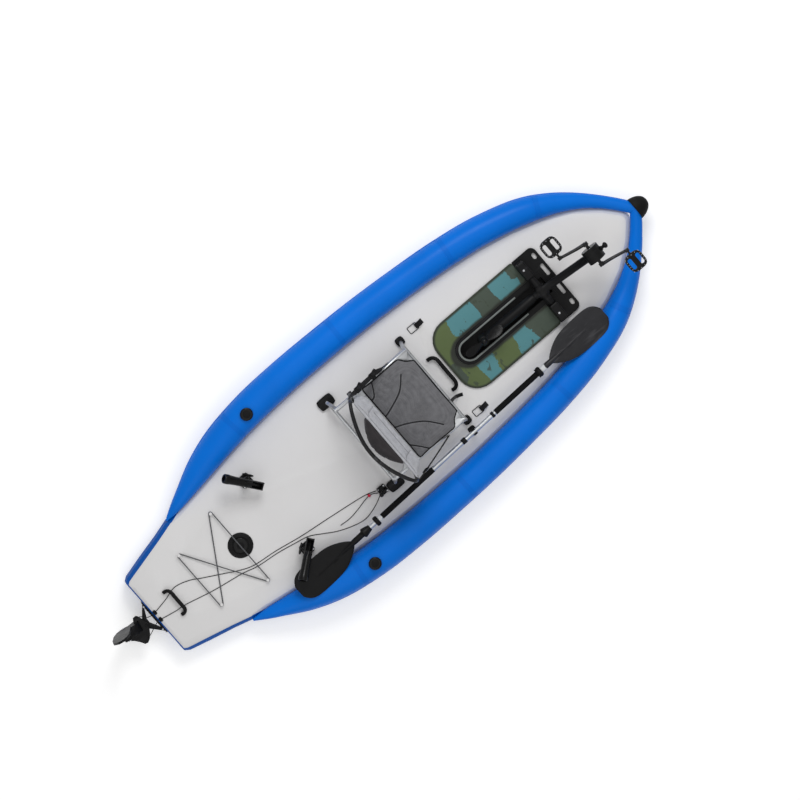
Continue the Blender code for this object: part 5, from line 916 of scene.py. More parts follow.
def seat_pad():
    """Seat cushion with drawn-in seams that run forward from its rear edge, and open front corners."""
    low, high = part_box("seat_cushion")
    middle, half = (low.x + high.x) / 2, (high.x - low.x) / 2 - 0.003
    wide = high.y - 0.003
    notch = 0.064

    def point(u, v, face):
        crown = (1 - u ** 4) * (1 - v ** 4)
        z = low.z + (0.007 + 0.014 * crown if face > 0 else 0.0005)
        pull = 0.004 * (1 - abs(u) ** 3) if abs(v) > 0.99 else 0.0
        return Vector((middle + half * u, (wide - pull) * v, z))

    pad = keep_mesh("seat_pad", slab(30, 44, point), M["seat"])
    cutters = bmesh.new()
    for side in (1, -1):
        corner = Matrix.Translation((middle + half + 0.004, side * (wide + 0.004), low.z - 0.05))
        turned(cutters, [(0, 0), (notch, 0), (notch, 0.2), (0, 0.2)], corner, 40)
    tool = keep_mesh("corner_tool", cutters, M["seat"])
    cut = pad.modifiers.new("cut", "BOOLEAN")
    cut.object = tool
    cut.operation = "DIFFERENCE"
    cut.solver = "MANIFOLD"
    settle(pad)
    bpy.data.objects.remove(tool, do_unlink=True)
    swell(pad, 0.0045, 0.006)
    lines = [[(low.x - 0.01, 0.036, 0), (0.085, 0.062, 0), (0.165, 0.098, 0), (0.225, 0.158, 0)],
             [(low.x - 0.01, -0.020, 0), (0.085, -0.050, 0), (0.165, -0.102, 0), (0.225, -0.176, 0)],
             [(low.x - 0.01, -0.120, 0), (0.050, -0.165, 0), (0.095, -0.222, 0)],
             [(low.x - 0.01, 0.150, 0), (0.050, 0.158, 0), (0.088, 0.222, 0)]]
    folds = [[(0.080 + 0.030 * k, -0.035 + 0.010 * k, 0), (0.105 + 0.030 * k, 0.012 + 0.008 * k, 0),
              (0.112 + 0.028 * k, 0.052 + 0.012 * k, 0)] for k in range(5)]
    folds += [[(0.070 + 0.028 * k, -0.190 + 0.012 * k, 0), (0.090 + 0.026 * k, -0.150 + 0.010 * k, 0)]
              for k in range(4)]
    folds += [[(0.075 + 0.030 * k, 0.105 + 0.018 * k, 0), (0.060 + 0.030 * k, 0.150 + 0.018 * k, 0)]
              for k in range(4)]
    relax(pad)
    press_seams(pad, [spline(line, 24) for line in folds], (0, 0, -1), 0.0034, 0.0075)
    refine(pad)
    press_seams(pad, [spline(line, 40) for line in lines], (0, 0, -1), 0.0040, 0.0060)
    co = places_of(pad.data)
    co[:, 2] = np.maximum(co[:, 2], low.z)
    pad.data.vertices.foreach_set("co", co.ravel())
    finish_piece(pad, "hull", ("seat_cushion",))
    tree = surface_of(pad)
    runs = []
    for line in lines:
        track = spline([(x, y, high.z) for x, y, _ in line], 60)
        track = [p for p in track if low.x + 0.006 < p.x < 0.30 and abs(p.y) < wide - 0.01]
        runs.append([p for p, _ in laid(tree, track, (0, 0, -1), 0.0004)])
    piping("seat_seam_piping", runs, 0.0042, M["piping"], "hull", flat=0.35)
    for number, line in enumerate(lines):
        for offset in (-0.0085, 0.0085):
            track = spline([(x, y + offset, high.z) for x, y, _ in line], 60)
            track = [p for p in track if low.x + 0.008 < p.x < 0.29 and abs(p.y) < wide - 0.012]
            stitched("seat_stitches_%d_%s" % (number, "a" if offset < 0 else "b"), tree, track, (0, 0, -1),
                     "hull", M["thread"])
    seat_edge(tree, low, middle + half, wide, notch)


def seat_edge(tree, low, front, wide, notch):
    """Piping round the cushion's rim and its open corners, pressed against the swollen side."""
    edge = []
    r = notch - 0.001
    cx, cy = front + 0.004, wide + 0.004
    outline = [(low.x + 0.004, -wide + 0.012), (low.x + 0.004, wide - 0.012), (low.x + 0.012, wide - 0.004)]
    outline += [(cx - r, wide - 0.004)]
    outline += [(cx + r * math.cos(a), cy + r * math.sin(a)) for a in np.radians(np.linspace(188, 262, 14))]
    outline += [(front - 0.002, cy - r), (front - 0.002, -(cy - r))]
    outline += [(cx + r * math.cos(a), -cy - r * math.sin(a)) for a in np.radians(np.linspace(262, 188, 14))]
    outline += [(cx - r, -wide + 0.004), (low.x + 0.012, -wide + 0.004)]
    dense = []
    for (ax, ay), (bx, by) in zip(outline, outline[1:] + outline[:1]):
        count = max(1, int(math.hypot(bx - ax, by - ay) / 0.006))
        dense += [Vector((ax + (bx - ax) * k / count, ay + (by - ay) * k / count, low.z + 0.0080))
                  for k in range(count)]
    for i, p in enumerate(dense):
        ahead = dense[(i + 1) % len(dense)] - dense[i - 1]
        out = Vector((-ahead.y, ahead.x, 0)).normalized()
        hit, _, _, _ = tree.ray_cast(p + out * 0.03, -out, 0.06)
        edge.append((hit if hit is not None else p) + out * 0.0006)
    smooth = [(edge[i - 2] + edge[i - 1] + edge[i] + edge[(i + 1) % len(edge)] + edge[(i + 2) % len(edge)]) / 5
              for i in range(len(edge))]
    piping("seat_edge_piping", [smooth], 0.0040, M["edge_piping"], "hull", closed=True)


def back_point(up, stern, across):
    """Point of the reclined back: up its face from the hinge, astern of it, and across."""
    c, s = math.cos(BACK_RECLINE), math.sin(BACK_RECLINE)
    return Vector((BACK_HINGE.x - s * up - c * stern, across, BACK_HINGE.z + c * up - s * stern))


FORWARD = Vector((math.cos(BACK_RECLINE), 0, math.sin(BACK_RECLINE)))


def seat_back():
    """Padded back panel with sewn channels, and the dark bolster over its top."""
    def panel(u, v, face):
        up = (u + 1) / 2
        lumbar = 0.034 * math.sin(math.pi * min(up / 0.75, 1.0)) ** 2 * (1 - v ** 16)
        rear = -0.0108 - lumbar
        thick = 0.005 + 0.009 * (1 - u ** 6) * (1 - v ** 6)
        return back_point(0.032 + 0.246 * up, rear - (thick if face > 0 else 0.0), 0.248 * v)

    cover = keep_mesh("back_panel", slab(30, 50, panel), M["back"])
    swell(cover, 0.0045, 0.005)
    ends = (0.052, 0.260)
    lines = [[back_point(0.04 + 0.235 * k / 12, 0, y + 0.012 * math.sin(math.pi * k / 12)) for k in range(13)]
             for y in (-0.150, 0.138)]
    lines += [[back_point(h, 0, -0.235 + 0.47 * k / 20) for k in range(21)] for h in ends]
    lines += [[back_point(0.165, 0, -0.14 + 0.27 * k / 12) for k in range(13)]]
    relax(cover, 8)
    press_seams(cover, lines, -FORWARD, 0.0038, 0.007)
    refine(cover)
    finish_piece(cover, "backrest", ("seat_back_fabric",))
    tree = surface_of(cover)
    runs = [[p for p, _ in laid(tree, [q + FORWARD * 0.1 for q in line], -FORWARD, 0.0004)] for line in lines]
    piping("back_seam_piping", runs, 0.0013, M["back_piping"], "backrest")
    for number, line in enumerate(lines):
        step = Vector((0, 0.0055, 0)) if number < 2 else Vector((0, 0, 0.0055))
        stitched("back_stitches_%d" % number, tree, [q + step + FORWARD * 0.1 for q in line], -FORWARD,
                 "backrest", M["thread"])

    def bolster(u, v, face):
        reach = (0.011 + 0.062 * (1 - v * v)) * math.sqrt(max(1 - 0.8 * u * u, 0.0))
        return back_point(0.235 + 0.044 * u, -0.0090 + (reach if face > 0 else 0.0), 0.146 * v)

    top = keep_mesh("top_bolster", slab(20, 40, bolster), M["dark_cloth"])
    swell(top, 0.005, 0.006)
    ribs = [[back_point(0.19 + 0.09 * k / 8, 0, y) for k in range(9)] for y in (-0.075, 0.0, 0.075)]
    relax(top, 8)
    press_seams(top, ribs, FORWARD, 0.004, 0.006)
    refine(top)
    finish_piece(top, "backrest", ("seat_back_pad",))
    tree = surface_of(top)
    runs = [[p for p, _ in laid(tree, [q - FORWARD * 0.12 for q in line], FORWARD, 0.0004)] for line in ribs]
    piping("bolster_piping", runs, 0.0012, M["piping"], "backrest")


seat_pad()
seat_back()


def webbing(name, points, width, thick, hint):
    bm = bmesh.new()
    sweep(bm, points, width / 2, 12, thick / width, hint)
    return crease(keep_mesh(name, bm, M["webbing"]), 60)


def ladder_buckle(name, spot, along, across, width):
    """Moulded frame with three bars that a strap is threaded through."""
    bm = bmesh.new()
    out = along.cross(across).normalized()
    length = 0.030
    for k in (-1, 1):
        sweep(bm, [spot + across * (k * width / 2) + along * (t * length / 2) + out * 0.002
                   for t in (-1, -0.5, 0, 0.5, 1)], 0.0032, 8)
    for t in (-1, -0.1, 1):
        sweep(bm, [spot + along * (t * length / 2) + across * (s * width / 2) + out * 0.002
                   for s in (-1, -0.4, 0.4, 1)], 0.0030, 8)
    return crease(keep_mesh(name, bm, M["black"]), 60)


def recline_straps():
    """Webbing from the backrest to the seat's sides; the port one lies flat and has a second buckle."""
    for side, side_name in ((1, "port"), (-1, "starboard")):
        top = back_point(0.215, 0.0, side * 0.2675)
        low = Vector((at(1.715), side * 0.2407, 0.275))

        def spot_at(share, out=0.0):
            p = top.lerp(low, share)
            p.y = top.y + (low.y - top.y) * share ** 1.5 + side * out
            p.z -= 0.006 * math.sin(math.pi * share) ** 2
            return p

        def facing(share):
            turn = min(max(min(share, 0.92 - share) / 0.16, 0.0), 1.0) if side > 0 else 0.0
            return Vector((0, 1 - 0.8 * turn, turn))

        def across_hinge(obj):
            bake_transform(obj)
            return obj

        points = [spot_at(k / 60) for k in range(61)]
        strap = across_hinge(webbing("recline_webbing_" + side_name, points, 0.024, 0.0026, facing))
        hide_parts("recline_strap_" + side_name)
        along = (low - top).normalized()
        for number, share in enumerate((0.24, 0.62) if side > 0 else (0.24,)):
            lateral = facing(share).cross(along).normalized()
            buckle = ladder_buckle("strap_buckle_%s_%d" % (side_name, number), spot_at(share), along,
                                   lateral, 0.027)
            across_hinge(buckle)
            fold = [spot_at(share + 0.012 * k, 0.002)
                    + Vector((0, side * 0.0012 * k, 0.0030 + 0.0024 * math.sin(k * 0.8))) for k in range(12)]
            across_hinge(webbing("strap_fold_%s_%d" % (side_name, number), fold, 0.021, 0.0024,
                                 lambda u, share=share: facing(share)))


recline_straps()
hanging = spline([(at(1.839), -0.118, 0.262), (at(1.850), -0.123, 0.215), (at(1.868), -0.132, 0.160),
                  (at(1.885), -0.141, 0.1336), (at(1.905), -0.150, 0.1318)], 40)
tail = webbing("seat_front_strap", hanging, 0.018, 0.0020, (0, 0, 1))
finish_piece(tail, "hull", ("seat_strap_tail",))


# Cords, along the same routes as their solids

def cord(name, points, radius, mat, node):
    bm = bmesh.new()
    sweep(bm, points, radius, 10)
    return finish_piece(crease(keep_mesh(name, bm, mat), 70), "hull", (node,))


def bungee():
    """Shock cord laced round four deck buttons as a star."""
    radius, stem = 0.003, 0.005
    spots = [Vector((at(d), y, FLOOR_TOP)) for d, y in
             ((0.296, 0.165), (0.296, -0.165), (0.5525, 0.2225), (0.5525, -0.2225))]
    low = 0.0037 + radius
    high = low + 2.4 * radius
    wrap = stem + radius + 0.0003
    legs = ((0, 1, high, 0.0), (1, 2, low, 0.0), (2, 3, high, 0.010), (3, 0, low, 2.6 * radius))
    runs = [(spots[j] - spots[i]).normalized() for i, j, _, _ in legs]
    points = []
    for index, (i, j, z, hump) in enumerate(legs):
        along, before, after = runs[index], runs[index - 1], runs[(index + 1) % 4]
        across = Vector((-along.y, along.x, 0.0))
        side0 = -1.0 if before.cross(along).z > 0 else 1.0
        side1 = -1.0 if along.cross(after).z > 0 else 1.0
        a = spots[i] + across * (side0 * wrap) + Vector((0, 0, z))
        b = spots[j] + across * (side1 * wrap) + Vector((0, 0, z))
        for k in range(17):
            points.append(a.lerp(b, k / 16) + Vector((0, 0, hump * math.sin(math.pi * k / 16) ** 2)))
        if index == 3:
            break
        next_z = legs[index + 1][2]
        turn = math.atan2(along.cross(after).z, along.dot(after))
        for k in range(1, 12):
            arm = Matrix.Rotation(turn * k / 12, 3, "Z") @ (across * (side1 * wrap * 1.02))
            points.append(spots[j] + arm + Vector((0, 0, z + (next_z - z) * k / 12)))
    cord("bungee_lacing", points, radius, M["bungee"], "bungee_cord")


bungee()
LINE_RADIUS = 0.0020
LINE_Z = FLOOR_TOP + 0.0016
BEAD = (1.215, -0.232)
BEAD_HUMP = 0.0075
for name, route in {
        "steering_line_starboard": ((0.012, -0.022), (0.10, -0.040), (0.16, -0.048), (0.31, -0.085),
                                    (0.475, -0.115), (0.56, -0.138), (0.675, -0.152), (0.775, -0.172),
                                    (0.85, -0.190), (0.915, -0.228), (0.975, -0.265), (1.05, -0.296),
                                    (1.125, -0.312), (1.20, -0.295), (1.258, -0.268)),
        "steering_line_port": ((0.012, 0.022), (0.10, 0.038), (0.175, 0.056), (0.25, 0.035), (0.31, 0.0),
                               (0.39, -0.045), (0.475, -0.093), (0.55, -0.122), (0.675, -0.138),
                               (0.825, -0.165), (1.0, -0.188), (1.185, -0.215), (1.258, -0.238)),
        "leash_cord": ((1.258, -0.253), BEAD, (1.125, -0.250), (1.068, -0.258), (1.008, -0.254))}.items():
    points = spline([(at(d), y, LINE_Z) for d, y in route], 96)
    if name == "leash_cord":
        for p in points:
            p.z += BEAD_HUMP * math.exp(-((p.x - at(BEAD[0])) / 0.040) ** 2)
    cord(name.replace("cord", "line") + "_braid", points, LINE_RADIUS, M["cord"], name)


EYE_RADIUS = 0.0066


def line_tail(side_name, side, hole):
    """Steering line from the deck's edge down into the rudder yoke, ending in a stopper knot."""
    edge = Vector((at(0.004), side * 0.0212, LINE_Z))
    route = [(at(0.022), side * 0.0241, LINE_Z), (at(0.012), side * 0.022, LINE_Z), edge,
             (at(-0.010), side * 0.0235, LINE_Z - 0.0004), (at(-0.030), side * 0.030, 0.1300),
             edge.lerp(hole, 0.72) + Vector((0, 0, -0.0012)), hole + Vector((0.005, -side * 0.003, 0.0058)),
             hole + Vector((0.0005, 0, 0.0030)), hole + Vector((0, 0, -0.006)), hole + Vector((0, 0, -0.0125))]
    bm = bmesh.new()
    sweep(bm, spline(route, 60), LINE_RADIUS, 10)
    turned(bm, [(0, -0.0040), (0.0026, -0.0033), (0.0038, -0.0012), (0.0034, 0.0006), (0.0038, 0.0022),
                (0.0024, 0.0038), (0, 0.0040)], Matrix.Translation(hole + Vector((0, 0, -0.0132))), 16)
    tail = crease(keep_mesh("steering_tail_" + side_name, bm, M["cord"]), 60)
    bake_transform(tail)


def line_eye(side_name, side):
    """Small moulded eye on the deck's edge that a steering line runs through."""
    bm = bmesh.new()
    foot = Vector((at(0.016), side * 0.0229, FLOOR_TOP))
    plate = [(-0.006, -0.0125), (0.006, -0.0125), (0.0085, -0.010), (0.0085, 0.010),
             (0.006, 0.0125), (-0.006, 0.0125), (-0.0085, 0.010), (-0.0085, -0.010)]
    floors = [[bm.verts.new(foot + Vector((x * k, y * k, z))) for x, y in plate]
              for k, z in ((1.0, -0.0004), (1.0, 0.0008), (0.94, 0.0014))]
    bm.faces.new(floors[0])
    bm.faces.new(floors[-1])
    for low, high in zip(floors, floors[1:]):
        for k in range(8):
            bm.faces.new((low[k], low[(k + 1) % 8], high[(k + 1) % 8], high[k]))
    arch = [foot + Vector((0, EYE_RADIUS * math.cos(a), 0.0005 + EYE_RADIUS * math.sin(a)))
            for a in np.radians(range(0, 181, 12))]
    sweep(bm, arch, 0.0016, 10, 1.0, (1, 0, 0))
    finish_piece(crease(keep_mesh("line_eye_" + side_name, bm, M["black"]), 40), "hull")


for side_name, side, astern, across in (("port", 1, 0.0101, 0.0637), ("starboard", -1, 0.0313, -0.0565)):
    line_tail(side_name, side, Vector((at(PINTLE_D) - astern, across, YOKE_TOP)))
    line_eye(side_name, side)


# Rigid pieces

FOOT_PLATE_TOP = FLOOR_TOP + 0.0163
SEAT_FOOT_TOP = FLOOR_TOP + 0.0175

for mat, shown in {
        "dark_steel": ("tie_down_ring_port", "tie_down_ring_starboard"),
        "steel": ("neck_shaft", "leg_shaft", "propeller_shaft", "rudder_blade_pin"),
        "black": ("well_liner", "rod_rotor_port", "rod_rotor_starboard", "rod_base_port", "rod_base_starboard",
                  "paddle_clip", "steering_box", "front_bracket")}.items():
    for node in shown:
        dress(node, M[mat])

for node, mat, levels in (
        ("bow_cap", "rubber", 2), ("stern_handle", "rubber", 2), ("middle_handle", "rubber", 2),
        ("floor_valve_body", "black", 2), ("floor_valve_cap", "black_gloss", 2),
        ("side_valve_cap_port", "black_gloss", 2), ("side_valve_cap_starboard", "black_gloss", 2),
        ("crank_case_cover", "black_gloss", 2), ("lift_knob", "rubber", 2), ("drive_neck", "black", 1),
        ("drive_leg", "black", 1), ("propeller", "black_gloss", 1), ("seat_frame", "frame", 1),
        ("seat_back_frame", "powder", 1), ("crank_set", "powder", 1), ("rod_tube_port", "black_gloss", 1),
        ("rod_tube_starboard", "black_gloss", 1), ("rudder_head", "black", 1),
        ("steering_lever", "black_gloss", 1),
        ("paddle_shaft", "alloy", 1), ("paddle_grip_bow", "foam", 1), ("paddle_grip_stern", "foam", 1),
        # The stern blade takes the darker copy of the blade finish as painted shade.
        ("paddle_blade_bow", "blade", 2), ("paddle_blade_stern", "shaded_blade", 2),
        ("leash_bead", "bead", 1)):
    piece = rounded(node, M[mat], levels)
    if node == "seat_frame":
        piece.data.materials.append(M["black"])
        for face in piece.data.polygons:
            face.material_index = int(face.center.z < SEAT_FOOT_TOP)

softened("drive_plate", "camouflage_deck_pad", M["camo"], 0.003, 3)


def well_rim():
    """Round rubber edging along the slot's sides and rear."""
    low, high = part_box("well_edge_trim")
    radius = WELL_HALF_WIDTH + 0.0055
    middle = low.x + 0.018 + WELL_HALF_WIDTH
    z = low.z + 0.0040
    ahead = high.x - 0.002
    points = [Vector((ahead - (ahead - middle) * k / 20, radius, z)) for k in range(21)]
    points += [Vector((middle - radius * math.sin(a), radius * math.cos(a), z))
               for a in np.radians(np.arange(6, 180, 6))]
    points += [Vector((p.x, -radius, z)) for p in reversed(points[:21])]
    bm = bmesh.new()
    sweep(bm, points, 0.0052, 12, 0.8)
    finish_piece(crease(keep_mesh("well_rim", bm, M["trim"]), 60), "hull", ("well_edge_trim",))


well_rim()
softened("transom_bracket", "rudder_bracket", M["black"], 0.0012, 2)
softened("pedal_port", "pedal_body_port", M["black"], 0.001, 2)
softened("pedal_starboard", "pedal_body_starboard", M["black"], 0.001, 2)
softened("rudder_blade", "rudder_fin", M["black"], 0.0015, 2)


# Small parts

UP, DOWN = Vector((0, 0, 1)), Vector((0, 0, -1))


def screws(name, spots, mat, body, radius):
    """Domed screw heads on washers."""
    studs(name + "_washers", spots, mat, body, radius * 1.5, 0.0009, 20)
    heads = [(p + n.normalized() * 0.0006, n) for p, n in spots]
    studs(name, heads, mat, body, radius, radius * 0.5, domed=True)


def ring_of(center, radius, count, normal, start=0.0):
    """Places round a circle, all facing along its normal."""
    turn = basis(normal).to_3x3()
    return [(center + turn @ Vector((radius * math.cos(a), radius * math.sin(a), 0)), Vector(normal))
            for a in (start + 2 * math.pi * k / count for k in range(count))]


def top_spots(node, insets):
    """Places on a node's top face, inset from its four corners."""
    low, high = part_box(node)
    return [(Vector((x, y, high.z)), UP) for x in (low.x + insets[0], high.x - insets[0])
            for y in (low.y + insets[1], high.y - insets[1])]


for side_name in ("port", "starboard"):
    screws("rod_base_screws_" + side_name, top_spots("rod_base_" + side_name, (0.009, 0.009)), M["steel"],
           "hull", 0.003)
feet = []
for sx, sy, inset in ((at(1.356), 0.272, (0.033, 0.019)), (at(1.836), 0.262, (0.015, 0.015))):
    for side in (1, -1):
        feet += [(Vector((sx + inset[0] * u, side * sy + inset[1] * v, FOOT_PLATE_TOP)), UP)
                 for u in (-1, 1) for v in (-1, 1)]
screws("seat_foot_screws", feet, M["dark_steel"], "hull", 0.0028)
screws("steering_box_screws", top_spots("steering_box", (0.007, 0.007)), M["steel"], "hull", 0.0022)
cover_middle = Vector((1.3375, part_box("crank_case_cover")[1].y, 0.388))
screws("crank_cover_screws", ring_of(cover_middle, 0.040, 6, (0, 1, 0), 0.5), M["steel"], "drive", 0.0026)
low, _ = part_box("front_bracket")
bracket_tree = surface_of(nodes["front_bracket"])
spots = laid(bracket_tree, [(low.x + 0.02, y, 0.5) for y in (-0.14, -0.06, 0.06, 0.14)], DOWN, 0.0)
screws("drive_mount_screws", [(p, UP) for p, _ in spots], M["steel"], "hull", 0.0034)
_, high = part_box("transom_bracket")
bracket_tree = surface_of(nodes["transom_bracket"])
spots = laid(bracket_tree, [(high.x - 0.012, y, 0.5) for y in (-0.075, -0.028, 0.028, 0.075)], DOWN, 0.0)
screws("rudder_bracket_screws", [(p, UP) for p, _ in spots], M["steel"], "hull", 0.003)


def disc(name, profile, place_at, mat, body):
    """A turned piece, either solid or with a bore where its profile closes on itself."""
    bm = bmesh.new()
    turned(bm, profile, place_at, 40)
    bmesh.ops.remove_doubles(bm, verts=bm.verts, dist=0.00001)
    return finish_piece(crease(keep_mesh(name, bm, mat), 35), body)


def sleeve(name, start, end, inner, outer, mat, body):
    """A short tube from start to end, its outer edges eased."""
    rounding = 0.12
    outline = [(inner, 0), (outer * 0.97, 0), (outer, rounding), (outer, 1 - rounding), (outer * 0.97, 1),
               (inner, 1)]
    bm = bmesh.new()
    along = end - start
    place_at = Matrix.Translation(start) @ basis(along)
    rings = []
    for r, h in outline:
        rings.append([bm.verts.new(place_at @ Vector((r * math.cos(a), r * math.sin(a), h * along.length)))
                      for a in round_angles(40)])
    for i in range(len(rings)):
        a, b = rings[i], rings[(i + 1) % len(rings)]
        for k in range(40):
            bm.faces.new((a[k], a[(k + 1) % 40], b[(k + 1) % 40], b[k]))
    return finish_piece(crease(keep_mesh(name, bm, mat), 35), body)


# Valves: grips round the caps, a button on each, and slots round the floor valve
for side_name in ("port", "starboard"):
    low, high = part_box("side_valve_cap_" + side_name)
    middle = (low + high) / 2
    grips = [(Vector((middle.x + 0.0328 * math.cos(a), middle.y + 0.0328 * math.sin(a), middle.z - 0.001)), UP)
             for a in round_angles(28)]
    studs("valve_cap_grips_" + side_name, grips, M["rubber"], "valve_cap_" + side_name, 0.0013,
          (high.z - low.z) * 0.62, 8)
    disc("valve_cap_button_" + side_name,
         [(0, 0.0004), (0.017, 0.0004), (0.0185, -0.0004), (0.019, -0.002), (0, -0.002)],
         Matrix.Translation((middle.x, middle.y, high.z)), M["rubber"], "valve_cap_" + side_name)
low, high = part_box("floor_valve_cap")
middle = (low + high) / 2
grips = [(Vector((middle.x + 0.0396 * math.cos(a), middle.y + 0.0396 * math.sin(a), middle.z + 0.001)), UP)
         for a in round_angles(32)]
studs("floor_valve_grips", grips, M["rubber"], "floor_cap", 0.0014, (high.z - low.z) * 0.7, 8)
disc("floor_valve_button", [(0, 0.0008), (0.016, 0.0008), (0.0185, 0), (0.020, -0.001), (0, -0.001)],
     Matrix.Translation((middle.x, middle.y, high.z)), M["rubber"], "floor_cap")
low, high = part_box("floor_valve_body")
studs("floor_valve_slots", ring_of(Vector((middle.x, middle.y, high.z - 0.0002)), 0.053, 36, (0, 0, 1)),
      M["rubber"], "hull", 0.0022, 0.0012, 6)

# Webbing tabs that hold the tie-down rings
for name in ("tie_down_ring_port", "tie_down_ring_starboard"):
    low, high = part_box(name)
    axle = Vector((high.x - 0.002, (low.y + high.y) / 2, high.z - 0.002))
    track = [axle + Vector((x, 0, z)) for x, z in
             ((0.034, -0.0064), (0.0275, -0.0052), (0.0235, 0.0002), (0.0175, 0.0042), (0.010, 0.0078),
              (0.0, 0.0082), (-0.0085, 0.0078), (-0.0118, 0.003), (-0.0122, -0.0055))]
    tab = webbing(name + "_tab", spline(track, 32), 0.0275, 0.0028, (0, 0, 1))
    finish_piece(tab, "hull")

# Rod holders: a clamp lever on each tilt pin, which stands over the base and looks along heading
TILT_PIN_Z = FLOOR_TOP + 0.064
LEVER_TILT = math.radians(20)
LEVER_HALF_LENGTH = 0.031
for side_name, d, y, heading in (("port", 0.793, 0.235, 125.0), ("starboard", 0.805, -0.230, 217.0)):
    turn = math.radians(heading)
    ahead = Vector((math.cos(turn), math.sin(turn), 0.0))
    out = Vector((ahead.y, -ahead.x, 0.0))
    pin = Vector((at(d), y, TILT_PIN_Z))
    bm = bmesh.new()
    turned(bm, [(0, 0.0209), (0.0085, 0.0209), (0.0095, 0.0225), (0.0085, 0.027), (0.0055, 0.029),
                (0.0055, 0.036), (0, 0.036)], Matrix.Translation(pin) @ basis(out), 24)
    along = (ahead * math.cos(LEVER_TILT) + UP * math.sin(LEVER_TILT)).normalized()
    grip = pin + out * 0.037
    sweep(bm, [grip + along * (LEVER_HALF_LENGTH * k / 8) for k in range(-8, 9)],
          lambda u: 0.0068 * (1 - abs(2 * u - 1) ** 5 * 0.55) * (0.86 + 0.14 * abs(2 * u - 1) ** 2),
          14, 0.8, UP)
    finish_piece(crease(keep_mesh("clamp_lever_" + side_name, bm, M["black_gloss"]), 40),
                 "rod_holder_" + side_name)

# Pedals: cleats on both faces
for side_name, px, py in (("port", 1.1975, 0.165), ("starboard", 1.4775, -0.165)):
    low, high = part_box("pedal_" + side_name)
    cleats = []
    for z, n in ((high.z, UP), (low.z, DOWN)):
        for u in (-0.041, 0.041):
            cleats += [(Vector((px + u, py + v, z)), n) for v in np.linspace(-0.036, 0.036, 6)]
        for v in (-0.041, 0.041):
            cleats += [(Vector((px + u, py + v, z)), n) for u in (-0.022, 0.0, 0.022)]
    studs("pedal_cleats_" + side_name, cleats, M["steel"], "pedal_" + side_name, 0.0018, 0.0024, 6)

# Paddle: ferrules, collars and drip rings
SHAFT_BORE = 0.0127
DRIP_BORE = 0.0166
tip_bow = Vector((at(2.713), -0.288, 0.2065))
tip_stern = Vector((at(0.632), -0.362, 0.2140))


def on_shaft(x):
    """Point of the shaft's axis at x."""
    share = (x - tip_stern.x) / (tip_bow.x - tip_stern.x)
    return tip_stern.lerp(tip_bow, share)


for name, x0, x1, outer, mat, slot in (
        ("paddle_ferrule_bow", 0.764, 0.802, 0.0172, "socket", "paddle_aluminium"),
        ("paddle_ferrule_stern", -0.352, -0.316, 0.0172, "socket", "paddle_aluminium"),
        ("paddle_collar_bow", 0.436, 0.452, 0.0162, "black", "black_plastic"),
        ("paddle_collar_middle", 0.236, 0.262, 0.0156, "black", "black_plastic")):
    sleeve(name, on_shaft(x0), on_shaft(x1), SHAFT_BORE, outer, M[mat], "paddle")
for name, x in (("drip_ring_bow", 0.762), ("drip_ring_stern", -0.345)):
    here = on_shaft(x)
    along = (tip_bow - tip_stern).normalized() * (1 if x > 0 else -1)
    place_at = Matrix.Translation(here) @ basis(along)
    disc(name, [(DRIP_BORE, -0.012), (0.0215, -0.0125), (0.0250, -0.0095), (0.0270, -0.004), (0.0272, 0.002),
                (0.0258, 0.0075), (0.0225, 0.0115), (0.0200, 0.0095), (DRIP_BORE, 0.0095), (DRIP_BORE, -0.012)],
         place_at, M["rubber"], "paddle")

# Foam grips: fine moulded rings
RIB_PITCH = 0.009
GRIP_RADIUS = 0.0156
GRIP_END = 0.012
for side_name in ("bow", "stern"):
    low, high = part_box("paddle_grip_" + side_name)
    bm = bmesh.new()
    x = low.x + GRIP_END
    turn = basis(tip_bow - tip_stern).to_3x3()
    while x < high.x - GRIP_END:
        c = on_shaft(x)
        ring = [c + turn @ Vector((GRIP_RADIUS * math.cos(a), GRIP_RADIUS * math.sin(a), 0))
                for a in round_angles(24)]
        sweep(bm, ring, 0.0006, 6, closed=True)
        x += RIB_PITCH
    finish_piece(crease(keep_mesh("grip_ribs_" + side_name, bm, M["foam"]), 60), "paddle")


# Floor, light and camera

def floor_and_light():
    bm = bmesh.new()
    for x, y in ((-30, -30), (30, -30), (30, 30), (-30, 30)):
        bm.verts.new((x, y, 0))
    bm.faces.new(bm.verts)
    ground = keep_mesh("ground", bm, ground_paint(), False)
    world = bpy.data.worlds.new("studio")
    scene.world = world
    world.use_nodes = True
    world.node_tree.nodes["Background"].inputs["Color"].default_value = (1, 1, 1, 1)
    world.node_tree.nodes["Background"].inputs["Strength"].default_value = 0.5
    for name, where, size, power in (("key", (2.5, 3.5, 5.0), 2.6, 165.0),
                                     ("fill", (-3.5, -2.5, 4.5), 4.0, 38.0),
                                     ("top", (0.0, 0.0, 6.5), 5.0, 46.0)):
        lamp = bpy.data.lights.new(name, "AREA")
        lamp.size = size
        lamp.energy = power
        obj = bpy.data.objects.new(name, lamp)
        obj.location = where
        obj.rotation_euler = (-Vector(where)).to_track_quat("-Z", "Y").to_euler()
        scene.collection.objects.link(obj)


